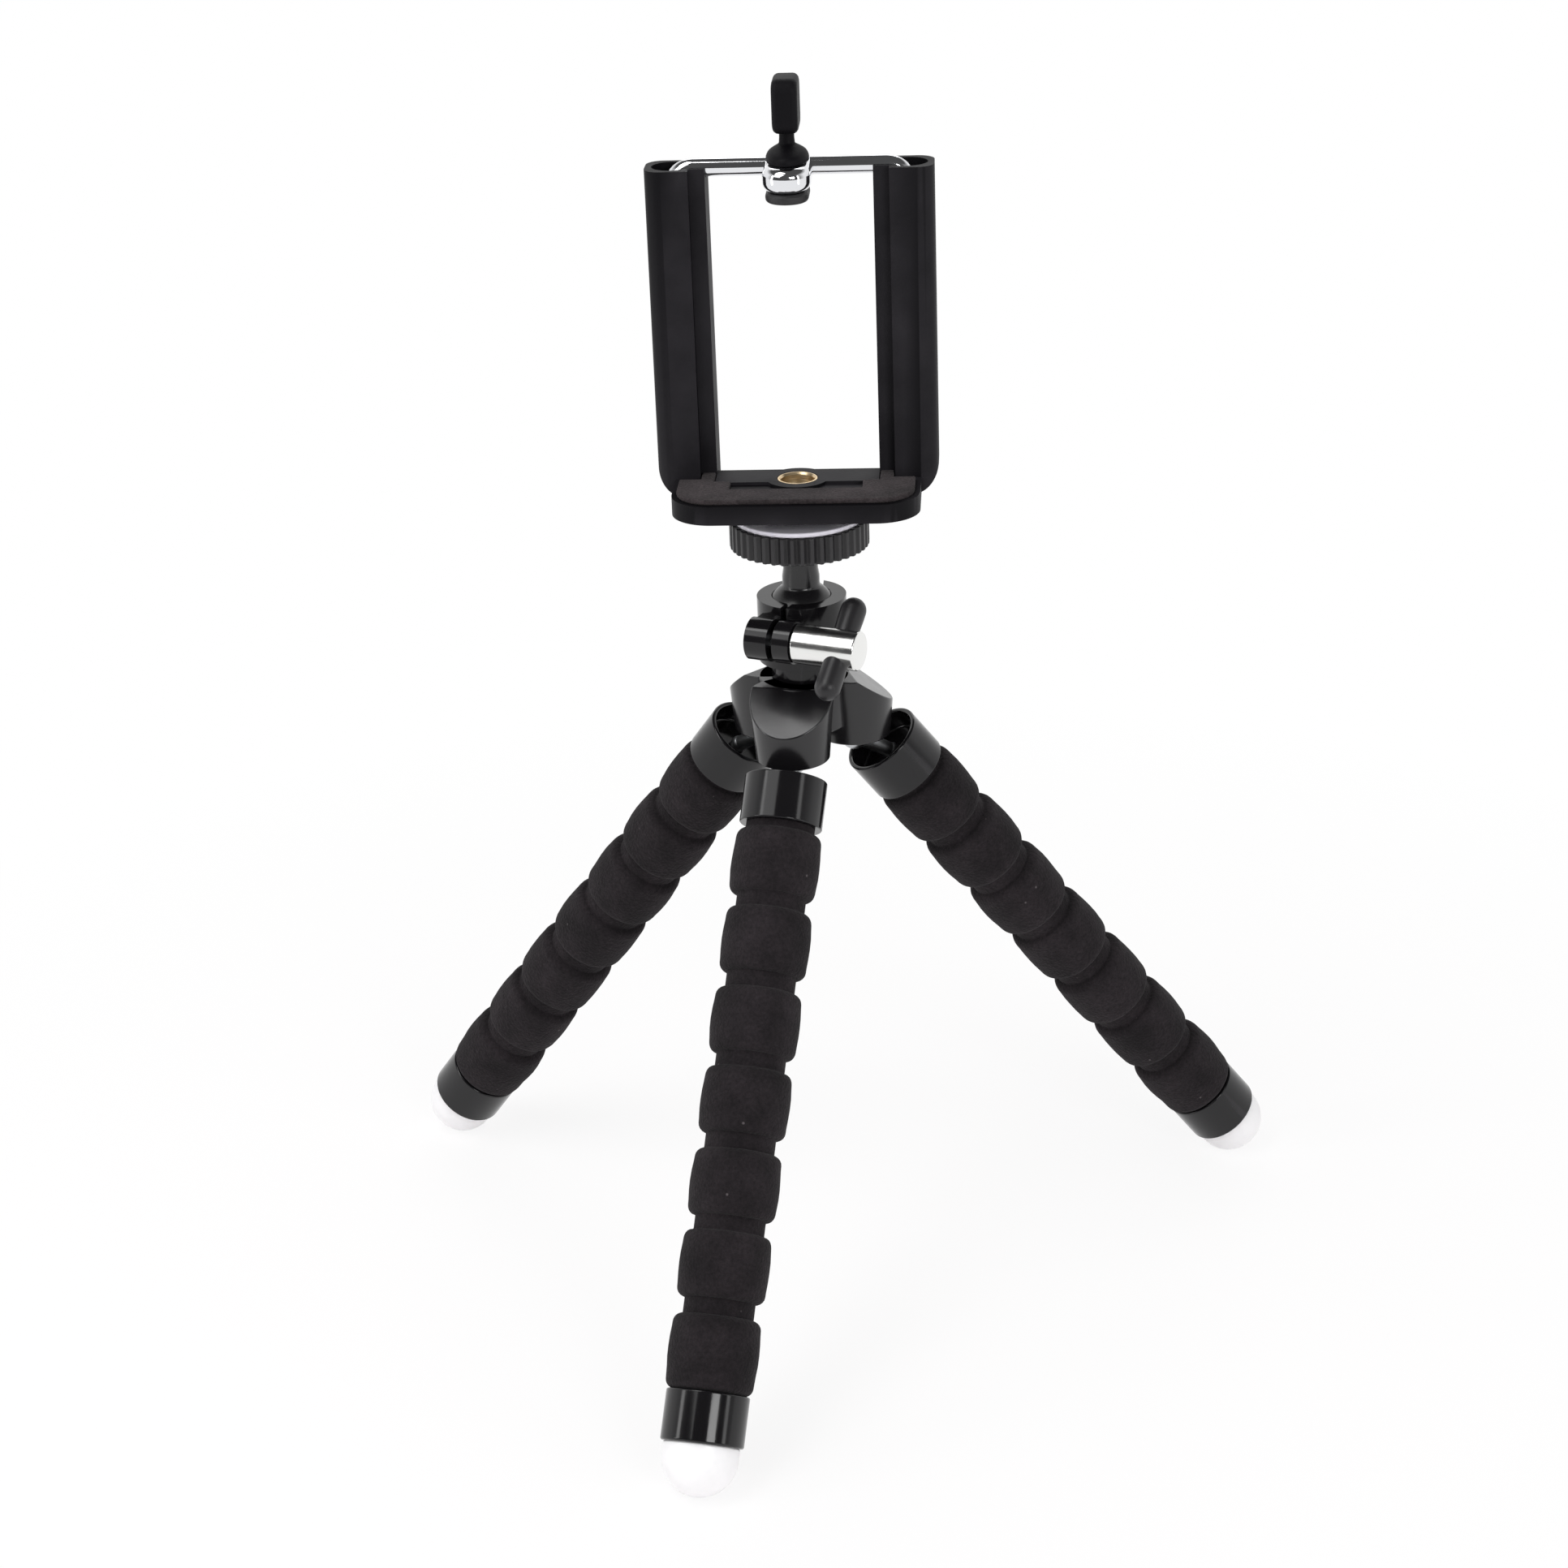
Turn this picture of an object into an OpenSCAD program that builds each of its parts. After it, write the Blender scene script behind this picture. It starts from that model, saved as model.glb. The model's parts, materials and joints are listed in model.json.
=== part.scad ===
// Small tripod on three bendable foam legs, with a ball head and a sprung phone holder.
// Millimetres, +Z up. The origin is on the floor, under the axis of the hub.

/* [Foam legs] */
// Diameter of a foam bead
bead_d = 17; // [15.5:0.1:20]
// Distance from one bead to the next
bead_pitch = 15.4; // [13:0.1:20]
// Rounding of a bead's edges
bead_round = 1.55; // [0.8:0.05:2]
// Diameter of the necks between beads
neck_d = 13.3; // [11:0.1:13.5]
// Length of a neck that stays straight
neck_gap = 2.1; // [1:0.1:3]
// Length of a neck that bends
bend_gap = 3; // [2.6:0.1:4]
// Diameter of the ball inside a neck that bends
neck_ball_d = 12.6; // [10:0.1:12.8]
// Play around that ball
bend_clear = 0.3; // [0.2:0.05:0.5]
// Diameter of the bendable wire in each leg
wire_d = 3; // [2:0.1:4]
// Angle of each leg from the vertical
splay = 37.5; // [25:0.5:45]
// Compass angle of the front, right and left leg
leg_az = [-101, 23, 153]; // [-180:1:180]

/* [Leg ends] */
// Outer diameter of the collar at the top of a leg
collar_d = 16; // [15.6:0.1:18]
// Length of that collar
collar_len = 9.4; // [8.5:0.1:12]
// Wall of the collar's open mouth
collar_wall = 0.9; // [0.6:0.1:1.4]
// Solid end of the collar, below its mouth
collar_floor = 5; // [3:0.1:6]
// Distance from the leg's root to the collar's mouth
root_gap = 4.6; // [4:0.1:6]
// Sideways set of the leg from its root
root_offset = 3.5; // [3:0.1:4.5]
// Diameter of the end cap
cap_d = 15.6; // [14:0.1:17]
// Length of the end cap
cap_len = 9.5; // [9:0.1:15]
// Rounding of the end cap's lower edge
cap_round = 0.8; // [0.4:0.1:2]
// Diameter of the domed foot
foot_d = 14.4; // [12:0.1:15]
// Length of the foot below the cap
foot_len = 9.5; // [8:0.1:12]
// Depth of the flat that the foot stands on
foot_flat = 0.35; // [0.1:0.05:0.6]
// Diameter of the foot's peg in the cap
foot_peg_d = 5; // [4:0.1:7]
// Length of the foot's peg
foot_peg_len = 2.5; // [1.5:0.1:3]
// Length of wire held in the end cap
cap_wire_len = 6; // [4:0.1:6.5]

/* [Hub] */
// Radius of the circle that the three lobes stand on
lobe_circle_r = 9.8; // [9.6:0.1:12]
// Diameter of a lobe at its top
lobe_top_d = 16.6; // [15:0.1:17]
// Diameter of a lobe at its bottom
lobe_bottom_d = 14.3; // [13:0.1:14.5]
// Height of the hub
hub_h = 13.6; // [13:0.1:18]
// Compass angle of the front lobe
lobe_az = -102; // [-180:1:180]
// Diameter of the core between the lobes
hub_core_d = 18; // [16:0.1:20]
// Height of the core's underside above the lobes' lower ends
hub_core_rise = 4; // [2:0.1:5]
// Slope of the flat on each lobe's top
facet_angle = 36.6; // [25:0.1:40]
// Radius at which those flats begin
facet_r = 8.5; // [8:0.1:9.5]
// Height of the lobes' lower ends above the legs' roots
root_drop = 0.85; // [0.8:0.05:1.5]
// Diameter of the ferrule that holds a leg's wire in its lobe
ferrule_d = 7.2; // [6.6:0.1:7.6]
// Length of the ferrule
ferrule_len = 8; // [6:0.1:8.5]
// Diameter of the ball at the upper end of a leg's wire
root_ball_d = 5.2; // [4.6:0.1:5.6]
// Diameter of the countersink under each lobe
lobe_sink_d = 10.4; // [9:0.1:11]
// Diameter of the screw between the hub and the ball head
hub_screw_d = 5; // [4:0.1:6]
// Diameter of that screw's head
hub_screw_head_d = 9; // [8:0.1:10]
// Height of that screw's head
hub_screw_head_h = 3.2; // [2:0.1:3.6]

/* [Ball head] */
// Diameter of the foot of the ball socket
socket_foot_d = 12.6; // [10:0.1:15]
// Height of that foot
socket_foot_h = 3.5; // [2:0.1:6]
// Outer diameter of the ball socket
socket_d = 17.3; // [16.6:0.1:19]
// Height of the ball socket
socket_h = 12.8; // [12:0.1:13.4]
// Diameter of the ball
ball_d = 13.8; // [12.8:0.1:14.2]
// Play around the ball
ball_clear = 0.15; // [0.1:0.05:0.3]
// Height of the ball's centre in the socket
ball_rise = 8.8; // [8.4:0.1:9.2]
// Diameter of the stud on the ball
stud_d = 6.7; // [6:0.1:7]
// Diameter where the stud flares into the ball
stud_flare_d = 7.2; // [7:0.1:7.3]
// Width of the slot that lets the stud lie flat
slot_w = 7.9; // [7.8:0.1:8.6]
// Length of the stud from the ball's centre to the thumb wheel
stud_len = 14.2; // [12:0.1:18]

/* [Socket clamp] */
// Compass angle that the clamp's screw points to
clamp_az = -21; // [-40:1:10]
// Distance of the clamp's screw from the head's axis
clamp_reach = 11.9; // [11.8:0.1:14]
// Drop of the clamp's screw below the ball's centre
clamp_drop = 1.4; // [0:0.1:2]
// Width of the split in the socket
split_w = 1.2; // [0.8:0.1:2]
// Diameter of the clamp's lugs
lug_d = 8.2; // [7.8:0.1:9]
// Length of the lug with the nut
lug_len = 4.6; // [4:0.1:7]
// Length of the lug on the barrel's side
ear_len = 3.4; // [3:0.1:4.5]
// Diameter of the bright barrel
barrel_d = 7.6; // [7:0.1:9]
// Length of the barrel
barrel_len = 13; // [12:0.1:16]
// Diameter of the clamp's screw
clamp_screw_d = 3; // [2.5:0.1:3.2]
// Distance of the cross bar from the barrel's end
bar_inset = 4; // [3.2:0.1:5]
// Diameter of the cross bar
bar_d = 5; // [4:0.1:5.6]
// Length of the cross bar
bar_len = 22; // [16:0.1:24]
// Turn of the cross bar from the vertical
bar_turn = 50; // [0:1:90]
// Width of the nut across its flats
nut_flats = 5.5; // [5:0.1:5.8]
// Thickness of the nut
nut_h = 2.4; // [2:0.1:3]

/* [Thumb wheel] */
// Diameter of the thumb wheel
wheel_d = 26.8; // [22:0.1:28]
// Height of the thumb wheel
wheel_h = 5.5; // [4:0.1:8]
// Number of grooves in its rim
wheel_grooves = 44; // [30:1:48]
// Width of a groove's sides
groove_w = 0.8; // [0.5:0.1:1]
// Diameter of the pale pad on the wheel
wheel_pad_d = 25; // [18:0.1:25.4]
// Thickness of that pad
wheel_pad_h = 0.8; // [0.5:0.1:1.5]
// Diameter of the camera screw, a quarter inch
camera_screw_d = 6.35; // [6:0.05:6.5]
// Diameter of the camera screw's shank inside the stud
shank_d = 4; // [3:0.1:4.6]
// Length of that shank
shank_len = 8; // [5:0.1:9]

/* [Phone holder] */
// Overall width of the holder
holder_w = 53.7; // [52:0.1:60]
// Height of the columns from the ledge's underside
column_h = 62.9; // [60:0.1:90]
// Width of a column
column_w = 11.3; // [10.9:0.1:11.6]
// Depth of a column
column_depth = 10; // [9.8:0.1:14]
// Distance of the columns' front from the head's axis
column_front = 1.1; // [0.8:0.1:2]
// Rounding of a column's outer edges
column_round = 3.2; // [1:0.1:3.4]
// Rounding of a column's lower outer corner
column_foot_round = 6; // [2:0.1:8]
// Width of the step along a column's inner edge
step_w = 3; // [2:0.1:3.2]
// Depth of that step
step_depth = 2; // [1:0.1:2.2]
// Width of the ledge
ledge_w = 46.9; // [40:0.1:50]
// Distance of the ledge's front from the head's axis
ledge_front = 15.5; // [13:0.1:20]
// Distance of the ledge's back from the head's axis
ledge_back = 5.2; // [4.6:0.1:6]
// Thickness of the ledge
ledge_h = 3.6; // [3:0.1:5]
// Rounding of the ledge's front corners
ledge_round = 8; // [3:0.1:9]
// Height of the bridge that carries the brass insert, above the ledge
bridge_h = 0.6; // [0.4:0.1:0.8]
// Distance of the bridge's front from the head's axis
bridge_front = 2.5; // [1.5:0.1:3.5]
// Diameter of the bridge's round tab
bridge_tab_d = 12; // [10.5:0.1:13]
// Thickness of the foam pad on the ledge
pad_h = 1; // [0.9:0.1:2]
// Margin from the ledge's edge to the foam pad
pad_margin = 1; // [0.5:0.1:2]
// Length of the pad's two notches, from front to back
notch_len = 5; // [3:0.1:5.5]
// Room between the foam pad and the columns' flat fronts
pad_back_gap = 2.3; // [2.1:0.1:3]
// Diameter of the boss under the ledge
boss_d = 13; // [11:0.1:16]
// Height of that boss
boss_h = 2.6; // [1:0.1:4]
// Outer diameter of the brass insert
insert_d = 7.8; // [7.4:0.1:9]

/* [Sprung bow] */
// Diameter of the bow's rod
rod_d = 3.4; // [3:0.1:3.8]
// Radius of the bow's corners
bow_bend_r = 4; // [3:0.1:6]
// Depth of the closed bow's middle line below the columns' tops
bow_seat = 0.3; // [0:0.1:1]
// Distance of each rod from the column's outer side
rod_inset = 4.9; // [4.8:0.1:5.2]
// Diameter of the spring's pocket in a column
pocket_d = 7.4; // [7:0.1:7.6]
// Floor below that pocket
pocket_floor = 2.6; // [2:0.1:4]
// Length of the guide in the pocket's mouth
guide_len = 5; // [3:0.1:7]
// Diameter of the stop on a rod's lower end
stop_d = 6.4; // [5.8:0.1:6.6]
// Thickness of the stop
stop_h = 2; // [1:0.1:3]
// Diameter of the spring's wire
spring_wire_d = 0.7; // [0.5:0.05:0.8]
// Diameter of the spring, at the middle of its wire
spring_d = 5.5; // [5.2:0.1:5.7]
// Turns of the spring
spring_turns = 16; // [8:1:18]

/* [Hook] */
// Width of the bright hook block
hook_w = 9; // [7:0.1:11]
// Distance of the hook block's front from the head's axis
hook_front = 7.5; // [5:0.1:10]
// Height of the hook block
hook_h = 4.7; // [4.4:0.1:6]
// Depth of the hook block below the rod's middle
hook_drop = 2.7; // [2.2:0.1:3.2]
// Thickness of the rubber pad under the hook block
hook_pad_h = 1.9; // [1:0.1:3]
// Margin from the block's edge to the rubber pad
hook_pad_margin = 0.5; // [0.2:0.1:1.2]
// Height of the grip's flared foot
flare_h = 3.4; // [2:0.1:5]
// Diameter of the grip's stem
stem_d = 2.8; // [2:0.1:4]
// Length of the stem between the flare and the paddle
stem_len = 2; // [1:0.1:4]
// Thickness of the paddle
paddle_t = 4.8; // [3:0.1:6]
// Width of the paddle, from front to back
paddle_w = 10; // [7:0.1:14]
// Height of the paddle
paddle_h = 10; // [8:0.1:16]
// Rounding of the paddle's corners
paddle_round = 2.5; // [1:0.1:3.4]

/* [Hidden] */
$fn = 64;

// Play between a shaft and its hole, and between faces that slide on each other
run_clear = 0.05;
face_clear = 0.2;
// A cut goes this far past the face that it opens
over = 1;

// The foam is in four lengths that hinge in the necks between them
side_names = ["front", "right", "left"];
link_beads = [2, 2, 2, 1];
link_first = [0, 2, 4, 6];
bead_count = link_first[3] + link_beads[3];
leg_start = root_gap + collar_len;
function link_s(i) = leg_start + link_first[i] * bead_pitch;
cap_s = leg_start + bead_count * bead_pitch;
foot_s = cap_s + cap_len + foot_len - foot_d / 2;
neck_ball_r = neck_ball_d / 2;
wire_bore_d = wire_d + 2 * run_clear;
// The wire's elbow in the collar is a little thicker than the wire
elbow_d = wire_d + 6 * run_clear;
elbow_s = root_gap + collar_len - collar_floor - wire_d / 4;

// Heights above the floor follow from the legs' length and splay
root_z = foot_s * cos(splay) - root_offset * sin(splay) + foot_d / 2 - foot_flat;
hub_z = root_z + root_drop;
hub_top = hub_z + hub_h;
core_z = hub_z + hub_core_rise;
socket_foot_z = hub_top + face_clear;
socket_z = socket_foot_z + socket_foot_h;
ball_z = socket_z + ball_rise;
clamp_z = ball_z - clamp_drop;
wheel_z = ball_z + stud_len;
wheel_top = wheel_z + wheel_h;
boss_z = wheel_top + wheel_pad_h + face_clear;
ledge_z = boss_z + boss_h;
ledge_top = ledge_z + ledge_h;
bridge_top = ledge_top + bridge_h;
column_top = ledge_z + column_h;

// Heights inside the hub: the ferrule covers the upper part of the wire's ball
seat_share = 0.27;
ferrule_foot = root_z + root_ball_d * seat_share;
ferrule_top = ferrule_foot + ferrule_len;
hub_screw_seat = core_z + hub_screw_head_h + 2 * face_clear;

// Places along the clamp's screw, from the middle of the split
barrel_x = split_w / 2 + ear_len + face_clear;
barrel_bar_x = barrel_x + barrel_len - bar_inset;
clamp_screw_x = -split_w / 2 - lug_len + over / 2;
clamp_screw_end = barrel_bar_x - bar_d / 2 - over;
// Height of the web between socket and lugs, as a share of the lugs' diameter
web_share = 0.8;

// Places of the holder's columns, rods and hook
column_inner = holder_w / 2 - column_w;
column_back = column_front + column_depth;
rod_x = holder_w / 2 - rod_inset;
rod_y = column_front + column_depth / 2;
bow_z = column_top - bow_seat;
stop_z = ledge_z + pocket_floor + face_clear;
guide_z = bow_z - bow_bend_r - face_clear - guide_len;
hook_z = bow_z - hook_drop;
hook_top = hook_z + hook_h;
hook_r = hook_w / 2;
hook_mid_y = (rod_y - hook_front + hook_r) / 2;

// Ends of the springs, between the stops and the guides
spring_z0 = stop_z + stop_h + spring_wire_d / 2 + run_clear;
spring_z1 = guide_z - spring_wire_d / 2 - run_clear;
ring_sides = 6;
rings_per_turn = 14;

// Roots of the legs, at the lower ends of the lobes
lobe_angles = [for (k = [0:2]) lobe_az + 120 * k];
function lobe_pos(k) = lobe_circle_r * [cos(lobe_angles[k]), sin(lobe_angles[k])];

// Frame of a leg: its root at the origin, +Z down the leg and -X outward
module at_leg(k) {
  translate([lobe_pos(k)[0], lobe_pos(k)[1], root_z])
    rotate([0, 0, leg_az[k]])
      rotate([0, 180 - splay, 0])
        children();
}

// A place on the middle line of a leg, at a distance along it
module on_leg(k, s) {
  at_leg(k) translate([-root_offset, 0, s]) children();
}

// Frame of the clamp: +X along its screw, away from the nut
module at_clamp() {
  translate([0, 0, clamp_z])
    rotate([0, 0, clamp_az])
      translate([0, -clamp_reach, 0])
        children();
}

// A cylinder along +X
module rod_x_way(d, h) {
  rotate([0, 90, 0]) cylinder(d = d, h = h);
}

// A pair of things, one in each column
module both_sides() {
  children();
  mirror([1, 0, 0]) children();
}

// A slot shape along Y, between the centres of its two round ends
module slot_shape(r, y0, y1) {
  translate([0, y0]) circle(r);
  translate([0, y1]) circle(r);
  translate([-r, y0]) square([2 * r, y1 - y0]);
}

// Hub

module leg_hub() {
  cut = 4 * lobe_circle_r;
  color("#2c2a2e") difference() {
    union() {
      for (k = [0:2])
        translate([lobe_pos(k)[0], lobe_pos(k)[1], hub_z])
          cylinder(d1 = lobe_bottom_d, d2 = lobe_top_d, h = hub_h);
      translate([0, 0, core_z]) cylinder(d = hub_core_d, h = hub_top - core_z);
    }
    for (k = [0:2]) {
      rotate([0, 0, lobe_angles[k]])
        translate([facet_r, 0, hub_top])
          rotate([0, facet_angle, 0])
            translate([-cut / 2, -cut / 2, 0])
              cube(cut);
      translate([lobe_pos(k)[0], lobe_pos(k)[1], hub_z]) {
        translate([0, 0, -over])
          cylinder(d = ferrule_d + 2 * run_clear, h = over + ferrule_top - hub_z + face_clear);
        lobe_countersink();
      }
    }
    translate([0, 0, core_z - over])
      cylinder(d = hub_screw_head_d + 2 * run_clear, h = over + hub_screw_seat - core_z);
    translate([0, 0, core_z]) cylinder(d = hub_screw_d + 2 * run_clear, h = hub_h);
  }
}

// Room for the wire to swing out below the lobe
module lobe_countersink() {
  depth = (lobe_sink_d - ferrule_d) / 2;
  translate([0, 0, -over])
    cylinder(d1 = lobe_sink_d + 2 * over, d2 = ferrule_d, h = depth + over);
}

// Screw that the ball head turns on
module hub_screw() {
  screw_top = socket_z + ball_rise - ball_d / 2 - 2 * over;
  color("#8d9095") {
    translate([0, 0, hub_screw_seat - hub_screw_head_h])
      cylinder(d = hub_screw_head_d, h = hub_screw_head_h);
    translate([0, 0, hub_screw_seat - hub_screw_head_h])
      cylinder(d = hub_screw_d, h = screw_top - hub_screw_seat + hub_screw_head_h);
  }
}

// Ball head

module ball_socket() {
  web_h = lug_d * web_share;
  color("#201f22") difference() {
    union() {
      translate([0, 0, socket_foot_z]) cylinder(d = socket_foot_d, h = socket_foot_h);
      translate([0, 0, socket_z]) cylinder(d = socket_d, h = socket_h);
      at_clamp() {
        translate([-split_w / 2 - lug_len, 0, 0]) rod_x_way(lug_d, lug_len);
        translate([split_w / 2, 0, 0]) rod_x_way(lug_d, ear_len);
        translate([-split_w / 2 - lug_len, 0, -web_h / 2])
          cube([lug_len + split_w + ear_len, clamp_reach - ball_d / 2, web_h]);
      }
    }
    translate([0, 0, ball_z]) sphere(d = ball_d + 2 * ball_clear, $fn = 96);
    translate([0, 0, ball_z]) {
      translate([-slot_w / 2, 0, 0]) cube([slot_w, socket_d, socket_h]);
      rotate([-90, 0, 0]) cylinder(d = slot_w, h = socket_d);
    }
    at_clamp() {
      translate([-split_w / 2, -lug_d, socket_z + socket_foot_h / 2 - clamp_z])
        cube([split_w, lug_d + clamp_reach, socket_h]);
      translate([-split_w / 2 - lug_len - over, 0, 0])
        rod_x_way(clamp_screw_d + 2 * run_clear, lug_len + split_w + ear_len + 2 * over);
      translate([-split_w / 2 - lug_len - over, 0, 0]) nut_body(nut_h + over, face_clear / 2);
    }
    translate([0, 0, socket_foot_z - over])
      cylinder(d = hub_screw_d + 2 * run_clear, h = over + ball_z - ball_d / 2 - socket_foot_z);
  }
}

// A hexagon along +X, wider by some play on each side
module nut_body(h, play) {
  rotate([0, 90, 0])
    cylinder(d = (nut_flats + 2 * play) / cos(30), h = h, $fn = 6);
}

module clamp_nut() {
  color("#b9bbbe") at_clamp()
    translate([-split_w / 2 - lug_len, 0, 0])
      difference() {
        nut_body(nut_h, 0);
        translate([-over, 0, 0]) rod_x_way(clamp_screw_d + 2 * run_clear, nut_h + 2 * over);
      }
}

module clamp_barrel() {
  color("#d8dadd") at_clamp() difference() {
    translate([barrel_x, 0, 0]) rod_x_way(barrel_d, barrel_len);
    translate([barrel_x - over, 0, 0])
      rod_x_way(clamp_screw_d, over + clamp_screw_end - barrel_x);
    cross_bar_place() cylinder(d = bar_d, h = 2 * barrel_d, center = true);
  }
}

module clamp_screw() {
  color("#a7a9ac") at_clamp()
    translate([clamp_screw_x, 0, 0])
      rod_x_way(clamp_screw_d, clamp_screw_end - clamp_screw_x);
}

// The cross bar's middle, with +Z along the bar
module cross_bar_place() {
  translate([barrel_bar_x, 0, 0]) rotate([-bar_turn, 0, 0]) children();
}

module clamp_bar() {
  straight = bar_len - bar_d;
  color("#242326") at_clamp() cross_bar_place() {
    cylinder(d = bar_d, h = straight, center = true);
    for (side = [-1, 1]) translate([0, 0, side * straight / 2]) sphere(d = bar_d);
  }
}

module ball_stud() {
  flare_top = ball_d / 2 + 2 * over;
  color("#29282b") difference() {
    translate([0, 0, ball_z]) {
      sphere(d = ball_d, $fn = 96);
      cylinder(d = stud_d, h = stud_len - face_clear);
      cylinder(d1 = stud_flare_d, d2 = stud_d, h = flare_top);
    }
    translate([0, 0, wheel_z - face_clear - shank_len]) cylinder(d = shank_d, h = shank_len + over);
  }
}

module camera_screw() {
  thread_z = wheel_z - face_clear;
  color("#9fa1a4") {
    translate([0, 0, thread_z - shank_len]) cylinder(d = shank_d, h = shank_len + over);
    translate([0, 0, thread_z]) cylinder(d = camera_screw_d, h = ledge_top - ledge_h / 2 - thread_z);
  }
}

module thumb_wheel() {
  color("#2b2a2c") translate([0, 0, wheel_z]) difference() {
    cylinder(d = wheel_d, h = wheel_h);
    translate([0, 0, -over])
      cylinder(d = camera_screw_d + 2 * run_clear, h = wheel_h + 2 * over);
    for (i = [0:wheel_grooves - 1])
      rotate([0, 0, i * 360 / wheel_grooves])
        translate([wheel_d / 2, 0, -over])
          rotate([0, 0, 45])
            translate([-groove_w / 2, -groove_w / 2, 0])
              cube([groove_w, groove_w, wheel_h + 2 * over]);
  }
}

module wheel_pad() {
  color("#d9d6e4") translate([0, 0, wheel_top]) difference() {
    cylinder(d = wheel_pad_d, h = wheel_pad_h);
    translate([0, 0, -over])
      cylinder(d = camera_screw_d + 2 * run_clear, h = wheel_pad_h + 2 * over);
  }
}

// Phone holder

// Outline of the ledge, seen from above, in from its edge by a margin
module ledge_shape(margin) {
  w = ledge_w / 2 - margin;
  r = ledge_round - margin;
  front = ledge_front - margin;
  translate([-w, r - front]) square([2 * w, front - r + ledge_back]);
  translate([r - w, -front]) square([2 * (w - r), r + over]);
  for (side = [-1, 1]) translate([side * (w - r), r - front]) circle(r);
}

// Outline of the bridge around the insert, larger by some play
module bridge_shape(play) {
  translate([-column_inner - play, -bridge_front - play])
    square([2 * (column_inner + play), bridge_front + ledge_back + 2 * play]);
  circle(d = bridge_tab_d + 2 * play);
}

// Outline of the right column, seen from above
module column_shape() {
  r = column_round;
  x1 = holder_w / 2;
  difference() {
    union() {
      translate([column_inner, column_front]) square([column_w - r, column_depth]);
      translate([column_inner, column_front + r]) square([column_w, column_depth - 2 * r]);
      translate([x1 - r, column_front + r]) circle(r);
      translate([x1 - r, column_back - r]) circle(r);
    }
    translate([column_inner - over, column_front - over])
      square([step_w + over, step_depth + over]);
  }
}

// Outline of the right column, seen from the front, with its lower outer corner rounded
module column_front_shape() {
  r = column_foot_round;
  translate([column_inner, r]) square([column_w, column_h - r]);
  translate([column_inner, 0]) square([column_w - r, column_h]);
  translate([column_inner + column_w - r, r]) circle(r);
}

// Notch in a column's inner side, open at the top, that the closed bow lies in
module bow_notch() {
  d = rod_d + 2 * face_clear;
  len = over + rod_x - column_inner;
  translate([column_inner - over, rod_y, bow_z]) {
    rod_x_way(d, len);
    translate([0, -d / 2, 0]) cube([len, d, over + bow_seat]);
  }
}

module column() {
  difference() {
    translate([0, 0, ledge_z]) intersection() {
      linear_extrude(column_h) column_shape();
      translate([0, column_back + over, 0])
        rotate([90, 0, 0])
          linear_extrude(column_depth + 2 * over)
            column_front_shape();
    }
    translate([rod_x, rod_y, ledge_z + pocket_floor]) cylinder(d = pocket_d, h = column_h);
    bow_notch();
  }
}

module holder_frame() {
  color("#232225") difference() {
    union() {
      both_sides() column();
      translate([0, 0, ledge_z]) linear_extrude(ledge_h) difference() {
        ledge_shape(0);
        both_sides() translate([rod_x, rod_y]) circle(d = pocket_d);
      }
      translate([0, 0, ledge_z]) linear_extrude(ledge_h + bridge_h) bridge_shape(0);
      translate([0, 0, boss_z]) cylinder(d = boss_d, h = boss_h + over);
    }
    translate([0, 0, boss_z - over]) cylinder(d = insert_d, h = bridge_top - boss_z + 2 * over);
  }
}

module brass_insert() {
  color("#c9a15a") translate([0, 0, boss_z]) difference() {
    cylinder(d = insert_d, h = bridge_top - boss_z);
    translate([0, 0, -over])
      cylinder(d = camera_screw_d + 2 * run_clear, h = bridge_top - boss_z + 2 * over);
  }
}

// Foam pad around the bridge, with a notch on each side of the round tab; it goes back into the columns' steps
module ledge_pad() {
  color("#2e2826") translate([0, 0, ledge_top]) linear_extrude(pad_h) difference() {
    ledge_shape(pad_margin);
    bridge_shape(face_clear);
    translate([-column_inner + step_w, -bridge_front - notch_len])
      square([2 * (column_inner - step_w), notch_len]);
    both_sides() translate([column_inner + step_w - face_clear, column_front - pad_back_gap])
      square([ledge_w / 2, pad_back_gap + ledge_back]);
    translate([-ledge_w / 2, column_front + step_depth - face_clear]) square([ledge_w, ledge_back]);
  }
}

module rod_guides() {
  color("#3a393c") both_sides() translate([rod_x, rod_y, guide_z]) difference() {
    cylinder(d = pocket_d, h = guide_len);
    translate([0, 0, -over]) cylinder(d = rod_d + 2 * run_clear, h = guide_len + 2 * over);
  }
}

module sprung_bow() {
  half = rod_x - bow_bend_r;
  color("#d8dadd") translate([0, rod_y, 0]) {
    both_sides() {
      translate([rod_x, 0, stop_z]) cylinder(d = rod_d, h = bow_z - bow_bend_r - stop_z);
      translate([half, 0, bow_z - bow_bend_r])
        rotate([90, 0, 0])
          rotate_extrude(angle = 90)
            translate([bow_bend_r, 0]) circle(d = rod_d);
    }
    translate([-half, 0, bow_z]) rod_x_way(rod_d, 2 * half);
  }
}

module rod_stops() {
  color("#8d9095") both_sides() translate([rod_x, rod_y, stop_z]) difference() {
    cylinder(d = stop_d, h = stop_h);
    translate([0, 0, -over]) cylinder(d = rod_d, h = stop_h + 2 * over);
  }
}

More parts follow.
